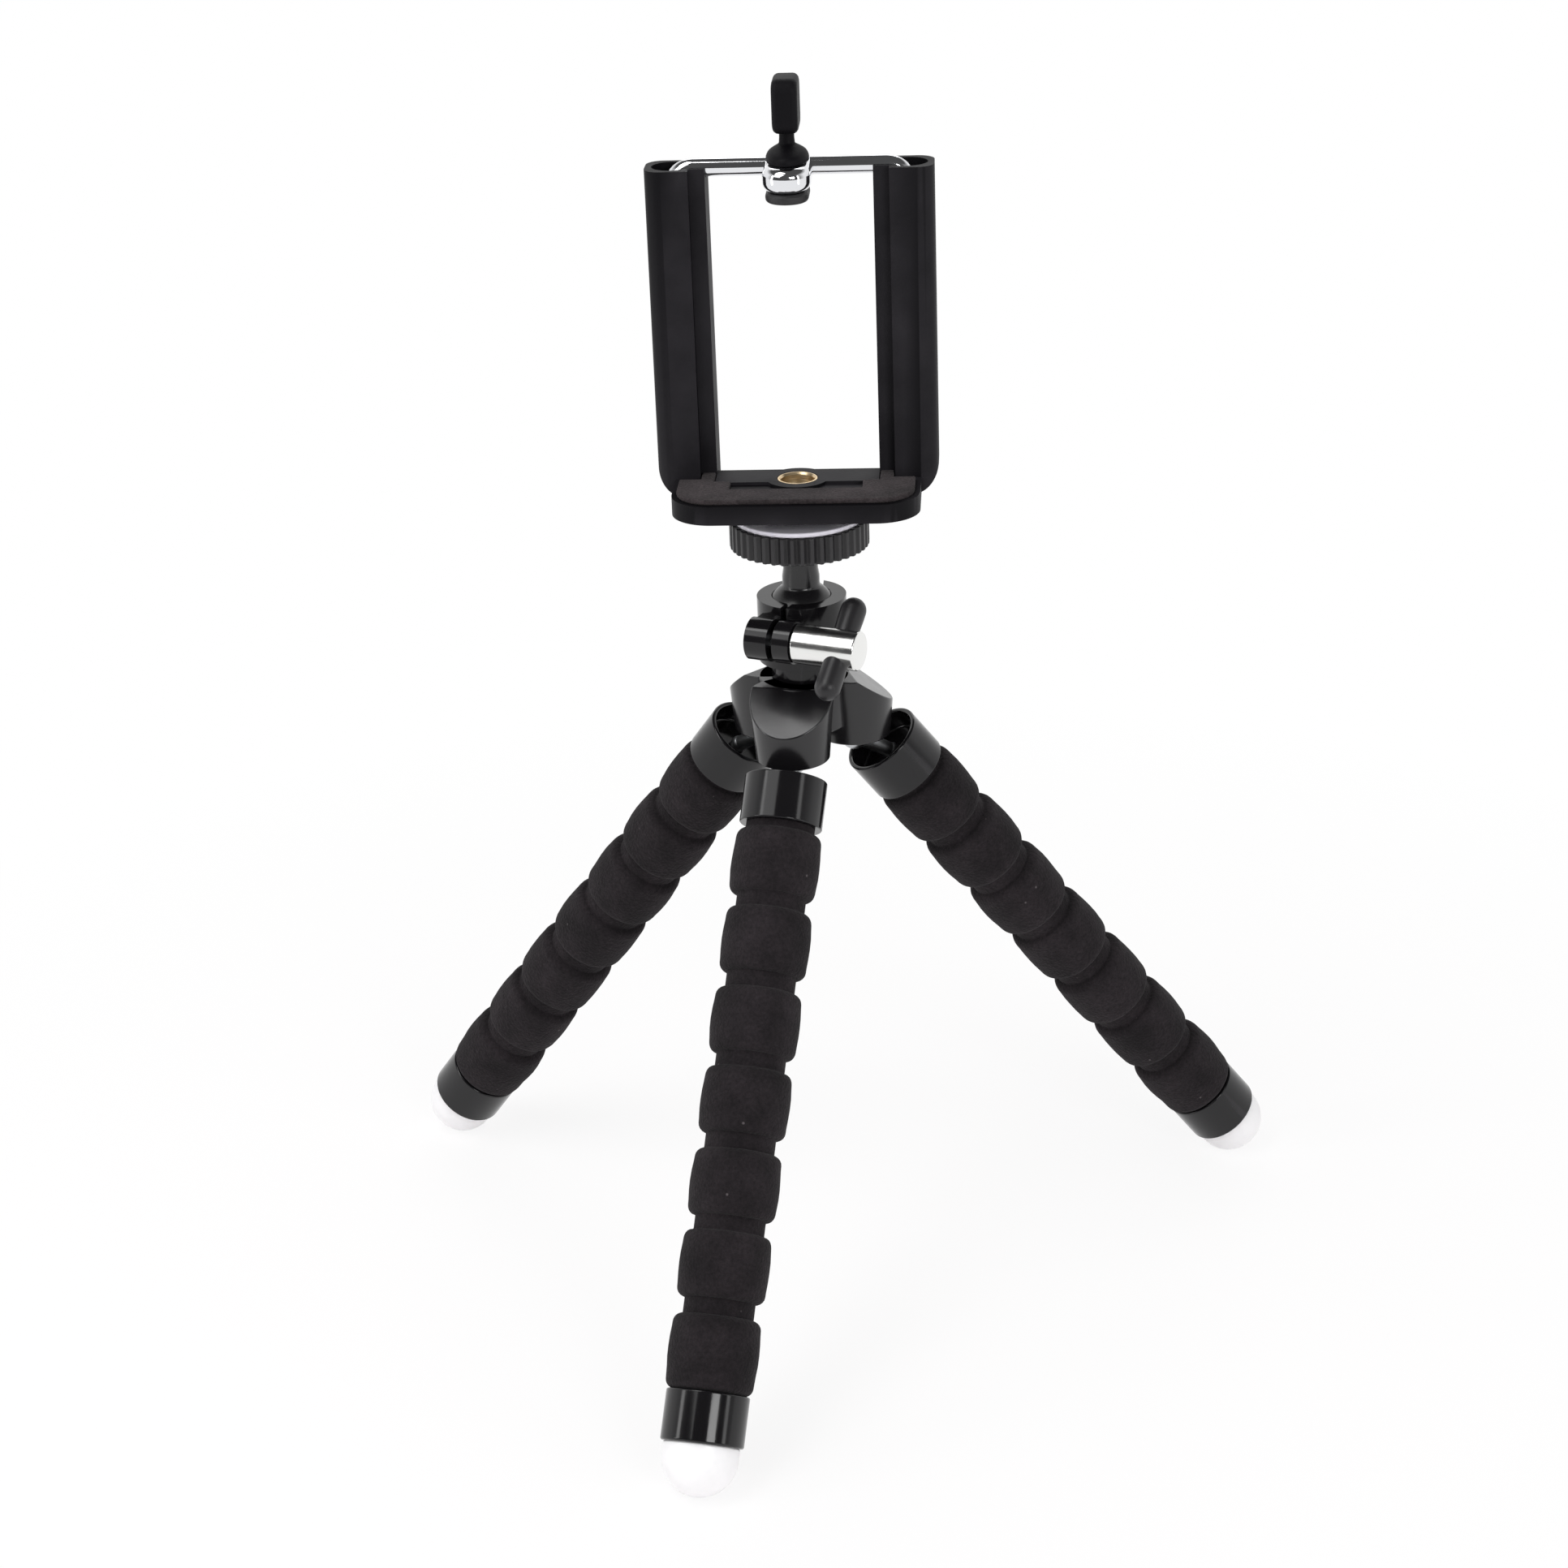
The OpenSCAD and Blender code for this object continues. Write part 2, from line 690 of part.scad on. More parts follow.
// Points of a coil: rings of a few points around the helix
function coil_rings() = spring_turns * rings_per_turn;
function coil_point(i, j) =
  let (a = 360 * i / rings_per_turn, b = 360 * j / ring_sides)
  let (r = spring_d / 2 + spring_wire_d / 2 * cos(b))
  let (z = spring_z0 + (spring_z1 - spring_z0) * i / coil_rings())
  [r * cos(a), r * sin(a), z + spring_wire_d / 2 * sin(b)];
function coil_face(i, j) =
  let (n = (j + 1) % ring_sides)
  [i * ring_sides + j, i * ring_sides + n, (i + 1) * ring_sides + n, (i + 1) * ring_sides + j];

module coil() {
  rings = coil_rings();
  points = [for (i = [0:rings], j = [0:ring_sides - 1]) coil_point(i, j)];
  sides = [for (i = [0:rings - 1], j = [0:ring_sides - 1]) coil_face(i, j)];
  start_end = [for (j = [ring_sides - 1:-1:0]) j];
  last_end = [for (j = [0:ring_sides - 1]) rings * ring_sides + j];
  polyhedron(points, concat(sides, [start_end, last_end]));
}

module rod_springs() {
  color("#b9bbbe") for (side = [-1, 1]) translate([side * rod_x, rod_y, 0]) coil();
}

// Hook

module hook_block() {
  color("#d8dadd") translate([0, 0, hook_z]) difference() {
    linear_extrude(hook_h) slot_shape(hook_r, hook_r - hook_front, rod_y);
    translate([-hook_w, rod_y, hook_drop]) rod_x_way(rod_d, 2 * hook_w);
  }
}

module hook_pad() {
  r = hook_r - hook_pad_margin;
  color("#1d1c1e") translate([0, 0, hook_z - hook_pad_h])
    linear_extrude(hook_pad_h) slot_shape(r, hook_r - hook_front, hook_mid_y);
}

// Outline of the paddle, seen from the side
module paddle_shape() {
  r = paddle_round;
  translate([-paddle_w / 2, r]) square([paddle_w, paddle_h - 2 * r]);
  translate([r - paddle_w / 2, 0]) square([paddle_w - 2 * r, paddle_h]);
  for (y = [r - paddle_w / 2, paddle_w / 2 - r], z = [r, paddle_h - r])
    translate([y, z]) circle(r);
}

module hook_grip() {
  rim = flare_h / 3;
  color("#2a292c") translate([0, hook_mid_y, hook_top]) {
    linear_extrude(rim) slot_shape(hook_r - hook_pad_margin, -hook_r / 2, hook_r / 2);
    translate([0, 0, rim]) cylinder(d1 = hook_w - 2 * hook_pad_margin, d2 = stem_d, h = flare_h - rim);
    cylinder(d = stem_d, h = flare_h + stem_len + paddle_round);
    translate([-paddle_t / 2, 0, flare_h + stem_len])
      rotate([90, 0, 90])
        linear_extrude(paddle_t)
          paddle_shape();
  }
}

// Legs

// Seat at the top of a leg, turning in its lobe
module leg_ferrule(k) {
  color("#8d9095") difference() {
    translate([lobe_pos(k)[0], lobe_pos(k)[1], ferrule_foot]) cylinder(d = ferrule_d, h = ferrule_len);
    translate([lobe_pos(k)[0], lobe_pos(k)[1], root_z]) sphere(d = root_ball_d + 2 * run_clear);
  }
}

module leg_collar(k) {
  color("#1b1a1c") on_leg(k, root_gap) difference() {
    cylinder(d = collar_d, h = collar_len);
    translate([0, 0, -over])
      cylinder(d = collar_d - 2 * collar_wall, h = over + collar_len - collar_floor);
    cylinder(d = wire_bore_d, h = collar_len + over);
  }
}

// Half section of one bead, from its upper face to its lower one
module bead_shape(z0, z1) {
  r = bead_d / 2;
  c = bead_round;
  translate([0, z0]) square([r - c, z1 - z0]);
  translate([0, z0 + c]) square([r, z1 - z0 - 2 * c]);
  for (z = [z0 + c, z1 - c]) translate([r - c, z]) circle(c);
}

// One length of the foam: its beads, the ball at its upper neck and the seat at its lower neck
module leg_foam(k, i) {
  n = link_beads[i];
  len = n * bead_pitch;
  top = i == 0 ? 0 : bend_gap / 2;
  bottom = i == 3 ? len : len - bend_gap / 2;
  color("#1a1919") on_leg(k, link_s(i)) difference() {
    union() {
      rotate_extrude() {
        translate([0, top]) square([neck_d / 2, bottom - top]);
        for (j = [0:n - 1])
          bead_shape(
            j == 0 && i > 0 ? top : j * bead_pitch + neck_gap / 2,
            j == n - 1 && i < 3 ? bottom : (j + 1) * bead_pitch - neck_gap / 2
          );
      }
      if (i > 0) sphere(d = neck_ball_d);
    }
    translate([0, 0, -neck_ball_d]) cylinder(d = wire_bore_d, h = len + neck_ball_d + over);
    if (i < 3) translate([0, 0, len]) sphere(d = neck_ball_d + 2 * bend_clear);
  }
}

// Where one length of wire starts and ends along its leg
function wire_start(i) = link_s(i) - neck_ball_r + bend_clear;
function wire_end(i) =
  i < 3 ? link_s(i + 1) - neck_ball_r - bend_clear - run_clear : cap_s + cap_wire_len;

// One length of the bendable wire; the first starts at the leg's root
module leg_wire(k, i) {
  color("#a7a9ac") {
    if (i == 0) {
      at_leg(k) {
        sphere(d = root_ball_d);
        rotate([0, -atan(root_offset / elbow_s), 0])
          cylinder(d = wire_d, h = norm([root_offset, elbow_s]));
      }
      on_leg(k, elbow_s) {
        sphere(d = elbow_d);
        cylinder(d = wire_d, h = wire_end(0) - elbow_s);
      }
    } else {
      on_leg(k, wire_start(i)) cylinder(d = wire_d, h = wire_end(i) - wire_start(i));
    }
  }
}

module leg_cap(k) {
  r = cap_d / 2;
  c = cap_round;
  color("#1b1a1c") on_leg(k, cap_s) difference() {
    rotate_extrude() {
      square([r, cap_len - c]);
      square([r - c, cap_len]);
      translate([r - c, cap_len - c]) circle(c);
    }
    translate([0, 0, -over]) cylinder(d = wire_bore_d, h = over + cap_wire_len + run_clear);
    translate([0, 0, cap_len - foot_peg_len]) cylinder(d = foot_peg_d, h = foot_peg_len + over);
  }
}

module leg_foot(k) {
  neck = foot_len - foot_d / 2;
  reach = 4 * foot_d;
  color("#e9e9ee") difference() {
    on_leg(k, cap_s + cap_len) rotate_extrude() {
      translate([0, -foot_peg_len]) square([foot_peg_d / 2, foot_peg_len + over]);
      square([foot_d / 2, neck]);
      translate([0, neck]) intersection() {
        circle(d = foot_d);
        square(foot_d);
      }
    }
    on_leg(k, foot_s) rotate([0, splay - 180, 0]) rotate([0, 0, -leg_az[k]])
      translate([-reach / 2, -reach / 2, -foot_d - foot_d / 2 + foot_flat])
        cube([reach, reach, foot_d]);
  }
}

leg_hub();
hub_screw();
ball_socket();
clamp_nut();
clamp_barrel();
clamp_screw();
clamp_bar();
ball_stud();
camera_screw();
thumb_wheel();
wheel_pad();
holder_frame();
brass_insert();
ledge_pad();
rod_guides();
sprung_bow();
rod_stops();
rod_springs();
hook_block();
hook_pad();
hook_grip();
for (k = [0:2]) {
  leg = str(side_names[k], "_leg_");
  leg_ferrule(k);
  leg_collar(k);
  leg_cap(k);
  leg_foot(k);
  for (i = [0:3]) {
    leg_foam(k, i);
    leg_wire(k, i);
  }
}
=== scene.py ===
import bmesh
import bpy
import json
import math
from mathutils import Matrix, Vector, noise


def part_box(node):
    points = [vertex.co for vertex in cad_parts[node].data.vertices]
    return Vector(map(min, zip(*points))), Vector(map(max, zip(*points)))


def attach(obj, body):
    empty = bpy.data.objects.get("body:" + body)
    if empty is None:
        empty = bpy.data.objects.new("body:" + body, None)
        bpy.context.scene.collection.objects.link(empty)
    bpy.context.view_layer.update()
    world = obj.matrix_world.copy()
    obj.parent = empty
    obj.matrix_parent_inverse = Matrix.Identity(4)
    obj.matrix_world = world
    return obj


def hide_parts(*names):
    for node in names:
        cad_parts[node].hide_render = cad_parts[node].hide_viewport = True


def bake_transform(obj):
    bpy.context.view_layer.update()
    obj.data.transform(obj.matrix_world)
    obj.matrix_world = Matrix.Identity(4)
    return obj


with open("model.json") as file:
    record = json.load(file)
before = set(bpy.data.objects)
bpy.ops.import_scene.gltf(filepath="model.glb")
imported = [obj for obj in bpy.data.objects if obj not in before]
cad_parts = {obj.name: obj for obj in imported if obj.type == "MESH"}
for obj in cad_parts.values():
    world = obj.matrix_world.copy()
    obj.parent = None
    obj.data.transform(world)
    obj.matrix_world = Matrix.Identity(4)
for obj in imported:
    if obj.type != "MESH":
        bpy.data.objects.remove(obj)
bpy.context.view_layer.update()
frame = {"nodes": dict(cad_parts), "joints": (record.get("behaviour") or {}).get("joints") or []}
nodes = frame["nodes"]
spots = {j["name"]: Vector(j["pos_m"]) for j in frame["joints"] if "pos_m" in j}
mm = 0.001
sides = ("front", "right", "left")
print("frame loaded:", len(nodes), "nodes")


# camera, from the photograph's own viewing angle

viewpoint = {"targetMm": (-4.7, -0.3, 101.9), "distanceMm": 646, "azimuth": -85.9, "pitch": 23.2, "roll": -2.1,
             "lensMm": 75.0, "sensorMm": 36, "seesToM": 20}


def turned(degrees, axis):
    return Matrix.Rotation(math.radians(degrees), 4, axis)


def moved(x, y, z):  # in millimetres
    return Matrix.Translation((x * mm, y * mm, z * mm))


def placeCamera(v):
    camera = bpy.data.objects.new("photoCamera", bpy.data.cameras.new("photoCamera"))
    bpy.context.collection.objects.link(camera)
    camera.data.sensor_width = v["sensorMm"]
    camera.data.lens = v["lensMm"]
    camera.data.clip_end = v["seesToM"]
    turn = turned(v["azimuth"] + 90, "Z") @ turned(90 - v["pitch"], "X") @ turned(v["roll"], "Z")
    camera.matrix_world = moved(*v["targetMm"]) @ turn @ moved(0, 0, v["distanceMm"])
    bpy.context.scene.camera = camera


placeCamera(viewpoint)
bpy.context.scene.view_settings.view_transform = "Standard"
print("camera placed")


# materials

def hexColour(text):  # sRGB hex to linear
    parts = [int(text[i:i + 2], 16) / 255 for i in (1, 3, 5)]
    return tuple(c / 12.92 if c <= 0.04045 else ((c + 0.055) / 1.055) ** 2.4 for c in parts) + (1.0,)


def perMm(size):  # scale of a pattern that repeats after this many millimetres
    return 1 / (size * mm)


def feed(tree, node, inputs):  # a socket is linked, anything else becomes the input's own value
    for name, value in inputs.items():
        if isinstance(value, bpy.types.NodeSocket):
            tree.links.new(value, node.inputs[name])
        else:
            node.inputs[name].default_value = value


def addNode(tree, kind, inputs=None, **settings):  # one node with its settings and links
    node = tree.nodes.new(kind)
    for name, value in settings.items():
        setattr(node, name, value)
    feed(tree, node, inputs or {})
    return node


def emptyTree(owner):  # the nodes of a material or of the world, cleared
    owner.use_nodes = True
    owner.node_tree.nodes.clear()
    return owner.node_tree


def startMaterial(name):
    material = bpy.data.materials.new(name)
    tree = emptyTree(material)
    shader = addNode(tree, "ShaderNodeBsdfPrincipled")
    addNode(tree, "ShaderNodeOutputMaterial", {"Surface": shader.outputs[0]})
    spot = addNode(tree, "ShaderNodeTexCoord").outputs["Object"]
    return material, tree, shader, spot


# nitrile foam, ground to shape: open cells at the surface give a dull black with a brown cast and pale dust
# real cells are 0.2 mm wide, drawn coarser so that they show
foamFinish = {"dark": "#171416", "light": "#2b2629", "toneRamp": (0.14, 0.42), "cellMm": 0.55,
              "grainCells": 1.3, "grainDetail": 4.0, "grainRoughness": 0.7, "patchMm": 7, "patchDetail": 3.0,
              "dust": "#6a6466", "speckMm": 5.2, "speckEdge": (0.03, 0.06), "speckShare": 0.55,
              "bump": 0.55, "bumpMm": 0.25, "roughness": 0.95, "shine": 0.14, "sheen": 0.04, "sheenRoughness": 0.6}


def groundFoam(name, f):
    material, tree, shader, spot = startMaterial(name)
    cells = addNode(tree, "ShaderNodeTexVoronoi", {"Vector": spot, "Scale": perMm(f["cellMm"])})
    grain = addNode(tree, "ShaderNodeTexNoise", {
        "Vector": spot, "Scale": perMm(f["grainCells"] * f["cellMm"]),
        "Detail": f["grainDetail"], "Roughness": f["grainRoughness"]})
    patch = addNode(tree, "ShaderNodeTexNoise", {
        "Vector": spot, "Scale": perMm(f["patchMm"]), "Detail": f["patchDetail"]})
    mixed = addNode(tree, "ShaderNodeMath", {0: grain.outputs["Fac"], 1: patch.outputs["Fac"]}, operation="MULTIPLY")
    tone = addNode(tree, "ShaderNodeValToRGB", {"Fac": mixed.outputs[0]})
    for stop, place, colour in zip(tone.color_ramp.elements, f["toneRamp"], (f["dark"], f["light"])):
        stop.position, stop.color = place, hexColour(colour)
    specks = addNode(tree, "ShaderNodeTexVoronoi", {"Vector": spot, "Scale": perMm(f["speckMm"])})
    dusty = addNode(tree, "ShaderNodeMapRange", {
        "Value": specks.outputs["Distance"], "From Min": f["speckEdge"][0], "From Max": f["speckEdge"][1],
        "To Min": f["speckShare"], "To Max": 0.0})
    colour = addNode(tree, "ShaderNodeMix", data_type="RGBA", inputs={
        0: dusty.outputs[0], 6: tone.outputs["Color"], 7: hexColour(f["dust"])})
    height = addNode(tree, "ShaderNodeMath", {0: cells.outputs["Distance"], 1: grain.outputs["Fac"]}, operation="ADD")
    bump = addNode(tree, "ShaderNodeBump", {
        "Height": height.outputs[0], "Strength": f["bump"], "Distance": f["bumpMm"] * mm})
    feed(tree, shader, {"Base Color": colour.outputs[2], "Normal": bump.outputs["Normal"],
                        "Roughness": f["roughness"], "Specular IOR Level": f["shine"],
                        "Sheen Weight": f["sheen"], "Sheen Roughness": f["sheenRoughness"]})
    return material


# moulded ABS: the polish of the steel mould decides the gloss, with a faint waviness, handling marks
# and edges rubbed paler
absFinish = {"ior": 1.53, "grainDetail": 3.0, "cloudMm": 9, "cloudDetail": 4.0, "cloudRange": (0.3, 0.7),
             "edgeRange": (0.53, 0.62), "edgeShare": 0.5, "bump": 0.35}


def mouldedAbs(name, colour, worn, roughness, grainMm, depthMm, marks, shine=0.5):
    a = absFinish
    material, tree, shader, spot = startMaterial(name)
    grain = addNode(tree, "ShaderNodeTexNoise", {
        "Vector": spot, "Scale": perMm(grainMm), "Detail": a["grainDetail"]})
    cloud = addNode(tree, "ShaderNodeTexNoise", {
        "Vector": spot, "Scale": perMm(a["cloudMm"]), "Detail": a["cloudDetail"]})
    sharpness = addNode(tree, "ShaderNodeNewGeometry").outputs["Pointiness"]
    edge = addNode(tree, "ShaderNodeMapRange", {
        "Value": sharpness, "From Min": a["edgeRange"][0], "From Max": a["edgeRange"][1], "To Max": a["edgeShare"]})
    rubbed = addNode(tree, "ShaderNodeMath", {0: edge.outputs[0], 1: cloud.outputs["Fac"]}, operation="MULTIPLY")
    tone = addNode(tree, "ShaderNodeMix", data_type="RGBA", inputs={
        0: rubbed.outputs[0], 6: hexColour(colour), 7: hexColour(worn)})
    rough = addNode(tree, "ShaderNodeMapRange", {
        "Value": cloud.outputs["Fac"], "From Min": a["cloudRange"][0], "From Max": a["cloudRange"][1],
        "To Min": roughness, "To Max": roughness + marks})
    bump = addNode(tree, "ShaderNodeBump", {
        "Height": grain.outputs["Fac"], "Strength": a["bump"], "Distance": depthMm * mm})
    feed(tree, shader, {"Base Color": tone.outputs[2], "Roughness": rough.outputs[0], "Normal": bump.outputs["Normal"],
                        "IOR": a["ior"], "Specular IOR Level": shine})
    return material


# plated, turned or drawn metal: bright, with smudges in the polish and tool lines where it was turned
# a wave texture of scale 1 has a band every 0.314 units
metalFinish = {"cloudMm": 4, "cloudDetail": 5.0, "cloudRange": (0.35, 0.7), "waveBand": 0.314, "waver": 0.6,
               "bump": 0.4}


def brightMetal(name, colour, roughness, smudge, lineMm=None, depthMm=0.0):
    m = metalFinish
    material, tree, shader, spot = startMaterial(name)
    cloud = addNode(tree, "ShaderNodeTexNoise", {
        "Vector": spot, "Scale": perMm(m["cloudMm"]), "Detail": m["cloudDetail"]})
    rough = addNode(tree, "ShaderNodeMapRange", {
        "Value": cloud.outputs["Fac"], "From Min": m["cloudRange"][0], "From Max": m["cloudRange"][1],
        "To Min": roughness, "To Max": roughness + smudge})
    feed(tree, shader, {"Base Color": hexColour(colour), "Roughness": rough.outputs[0], "Metallic": 1.0})
    if lineMm:
        lines = addNode(tree, "ShaderNodeTexWave", bands_direction="Z", inputs={
            "Vector": spot, "Scale": m["waveBand"] * perMm(lineMm), "Distortion": m["waver"]})
        bump = addNode(tree, "ShaderNodeBump", {
            "Height": lines.outputs["Fac"], "Strength": m["bump"], "Distance": depthMm * mm})
        feed(tree, shader, {"Normal": bump.outputs["Normal"]})
    return material


# soft polymers: rubber and vinyl, dull with a skin that scatters a little light
softFinish = {"grainDetail": 4.0, "bump": 0.3, "bumpMm": 0.08, "scatterMm": 2}


def softPolymer(name, colour, worn, roughness, grainMm, scatter=0.0):
    s = softFinish
    material, tree, shader, spot = startMaterial(name)
    grain = addNode(tree, "ShaderNodeTexNoise", {
        "Vector": spot, "Scale": perMm(grainMm), "Detail": s["grainDetail"]})
    tone = addNode(tree, "ShaderNodeMix", data_type="RGBA", inputs={
        0: grain.outputs["Fac"], 6: hexColour(colour), 7: hexColour(worn)})
    bump = addNode(tree, "ShaderNodeBump", {
        "Height": grain.outputs["Fac"], "Strength": s["bump"], "Distance": s["bumpMm"] * mm})
    feed(tree, shader, {"Base Color": tone.outputs[2], "Normal": bump.outputs["Normal"], "Roughness": roughness})
    if scatter:
        feed(tree, shader, {"Subsurface Weight": scatter, "Subsurface Radius": (s["scatterMm"] * mm,) * 3,
                            "Subsurface Scale": 1.0})
    return material


finishes = {
    "sleeveFoam": groundFoam("nitrileFoam", foamFinish),
    # skived sheet: finer cells, greyer than the sleeves
    "padFoam": groundFoam("evaFoamSheet", {**foamFinish, "dark": "#242021", "light": "#463f41", "cellMm": 0.45}),
    # polished mould: sharp reflections on collars, caps and socket
    "glossAbs": mouldedAbs("glossAbs", "#121113", "#3a383c", roughness=0.1, grainMm=2.2, depthMm=0.02, marks=0.06,
                           shine=0.34),
    # half polished: soft gleams on the hub's slanted flats
    "hubAbs": mouldedAbs("hubAbs", "#161517", "#454247", roughness=0.18, grainMm=1.8, depthMm=0.025, marks=0.08),
    # etched mould: nearly matt columns
    "satinAbs": mouldedAbs("satinAbs", "#0f0e11", "#3c3a3e", roughness=0.48, grainMm=0.5, depthMm=0.05, marks=0.1,
                           shine=0.08),
    # handled often: greyer on ribs and bar
    "ribbedAbs": mouldedAbs("ribbedAbs", "#1c1b1d", "#4a474b", roughness=0.34, grainMm=0.8, depthMm=0.04, marks=0.1,
                            shine=0.4),
    "chrome": brightMetal("chromePlate", "#e4e5e8", roughness=0.04, smudge=0.05),
    "nickel": brightMetal("nickelPlate", "#ececea", roughness=0.14, smudge=0.08),
    "steel": brightMetal("zincPlatedSteel", "#a9abae", roughness=0.3, smudge=0.12, lineMm=0.7, depthMm=0.05),
    "blackSteel": brightMetal("blackOxideSteel", "#2c2b2d", roughness=0.35, smudge=0.1, lineMm=0.7, depthMm=0.05),
    "springSteel": brightMetal("springSteel", "#9a9ca0", roughness=0.28, smudge=0.1),
    "brass": brightMetal("turnedBrass", "#dfc7a0", roughness=0.28, smudge=0.12, lineMm=0.5, depthMm=0.03),
    "wire": brightMetal("drawnAluminium", "#b9bbbd", roughness=0.32, smudge=0.15),
    "rubber": softPolymer("nitrileRubber", "#161517", "#212022", roughness=0.55, grainMm=0.6),
    "wheelPad": softPolymer("softVinyl", "#f1eefb", "#fbf9ff", roughness=0.4, grainMm=0.8),
    "footVinyl": softPolymer("milkyVinyl", "#f4f4f7", "#fbfafc", roughness=0.28, grainMm=1.5, scatter=0.6),
}
print("materials made:", len(finishes))


# making pieces

making = {"profileSteps": 5, "outlineSteps": 8, "mergeMm": 0.002, "weldMm": 0.001, "flatAngle": 1, "smooth": 38}


def vertsIn(geom):
    return [g for g in geom if isinstance(g, bmesh.types.BMVert)]


def edgesIn(geom):
    return [g for g in geom if isinstance(g, bmesh.types.BMEdge)]


def shift(bm, x, y, z):  # in millimetres
    bmesh.ops.translate(bm, vec=(x * mm, y * mm, z * mm), verts=bm.verts[:])


def roundCorners(bm, verts, rounds, segments):  # rounds holds the radius of some corners by their number
    for radius in sorted(set(rounds.values())):
        corner = [verts[i] for i, r in rounds.items() if r == radius]
        bmesh.ops.bevel(bm, geom=corner, offset=radius * mm, segments=segments, profile=0.5, affect="VERTICES",
                        material=-1)


def arc(radius, middle, first, last, steps):  # a profile's round part, between two angles around the axis point
    angles = [first + (last - first) * t / steps for t in range(steps + 1)]
    return [(radius * math.cos(a), middle + radius * math.sin(a)) for a in angles]


def lathe(points, steps, rounds=None, closed=False):  # a profile in X and Z, rounded at its corners and spun
    bm = bmesh.new()
    verts = [bm.verts.new((x * mm, 0, z * mm)) for x, z in points]
    for a, b in zip(verts, verts[1:] + (verts[:1] if closed else [])):
        bm.edges.new((a, b))
    roundCorners(bm, verts, rounds or {}, making["profileSteps"])
    bmesh.ops.spin(bm, geom=bm.verts[:] + bm.edges[:], cent=(0, 0, 0), axis=(0, 0, 1), dvec=(0, 0, 0),
                   angle=2 * math.pi, steps=steps, use_merge=True, use_normal_flip=False, use_duplicate=False)
    bmesh.ops.remove_doubles(bm, verts=bm.verts[:], dist=making["mergeMm"] * mm)
    return bm


def extrudeUp(bm, height):
    raised = bmesh.ops.extrude_face_region(bm, geom=bm.faces[:])["geom"]
    bmesh.ops.translate(bm, vec=(0, 0, height * mm), verts=vertsIn(raised))
    bmesh.ops.recalc_face_normals(bm, faces=bm.faces[:])


def prism(points, rounds, low, high):  # an outline in X and Y, rounded at its corners and extruded up
    bm = bmesh.new()
    verts = [bm.verts.new((x * mm, y * mm, low * mm)) for x, y in points]
    bm.faces.new(verts)
    roundCorners(bm, verts, rounds, making["outlineSteps"])
    extrudeUp(bm, high - low)
    return bm


def bevelSharp(bm, width, angle, segments):
    sharp = [e for e in bm.edges if len(e.link_faces) == 2 and e.calc_face_angle() > math.radians(angle)]
    bmesh.ops.bevel(bm, geom=sharp, offset=width * mm, segments=segments, profile=0.5, affect="EDGES", material=-1,
                    clamp_overlap=True)


def cutOff(bm, point, normal):  # what lies past a plane goes, and the cut is closed
    cut = bmesh.ops.bisect_plane(bm, geom=bm.verts[:] + bm.edges[:] + bm.faces[:], plane_co=point, plane_no=normal,
                                 clear_outer=True)
    bmesh.ops.edgeloop_fill(bm, edges=edgesIn(cut["geom_cut"]))


def softened(name, s):  # a copy of a CAD node's shape, merged, with its sharp edges rounded
    bm = bmesh.new()
    bm.from_mesh(nodes[name].data)
    bmesh.ops.remove_doubles(bm, verts=bm.verts[:], dist=s["mergeMm"] * mm)
    bmesh.ops.dissolve_limit(bm, angle_limit=math.radians(making["flatAngle"]), verts=bm.verts[:], edges=bm.edges[:])
    bevelSharp(bm, s["edgeMm"], s["sharpAngle"], s["edgeSteps"])
    return bm


def joined(shapes):  # several bmesh shapes as one
    bm = bmesh.new()
    for shape in shapes:
        part = bpy.data.meshes.new("part")
        shape.to_mesh(part)
        shape.free()
        bm.from_mesh(part)
        bpy.data.meshes.remove(part)
    return bm


def finishPiece(name, bm, finish, body=None, replaces=(), place=None, smooth=making["smooth"], recalc=True):
    bmesh.ops.remove_doubles(bm, verts=bm.verts[:], dist=making["weldMm"] * mm)
    if recalc:
        bmesh.ops.recalc_face_normals(bm, faces=bm.faces[:])
    if place:
        bmesh.ops.transform(bm, matrix=place, verts=bm.verts[:])
    mesh = bpy.data.meshes.new(name)
    bm.to_mesh(mesh)
    bm.free()
    mesh.polygons.foreach_set("use_smooth", [True] * len(mesh.polygons))
    mesh.set_sharp_from_angle(angle=math.radians(smooth))
    mesh.materials.append(finishes[finish])
    piece = bpy.data.objects.new(name, mesh)
    bpy.context.collection.objects.link(piece)
    if body:
        weighted = piece.modifiers.new("evenNormals", "WEIGHTED_NORMAL")
        weighted.keep_sharp = True
        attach(piece, body)
    if replaces:
        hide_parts(*replaces)
    return piece


# foam sleeves

foam = {"startMm": 14.0, "pitchMm": 15.4, "links": (2, 2, 2, 1), "beadMm": 17.0, "neckMm": 13.3, "gapMm": 3.0,
        "crownMm": 0.35, "crownDrop": 0.6, "crownFrom": 0.2, "crownSpan": 0.6, "crownPoints": (0, 0.25, 0.5, 0.75, 1),
        "edgeMm": 1.6, "creaseMm": 0.4, "ballMm": 12.6, "seatMm": 13.2, "ballSteps": 8, "boreMm": 3.2,
        "lumpMm": 0.16, "lumpFromMm": 6.9, "lumpSizeMm": 6.0, "skinGapMm": 0.04, "skinLapMm": 0.9, "skinRows": 12,
        "steps": 80, "smooth": 60}


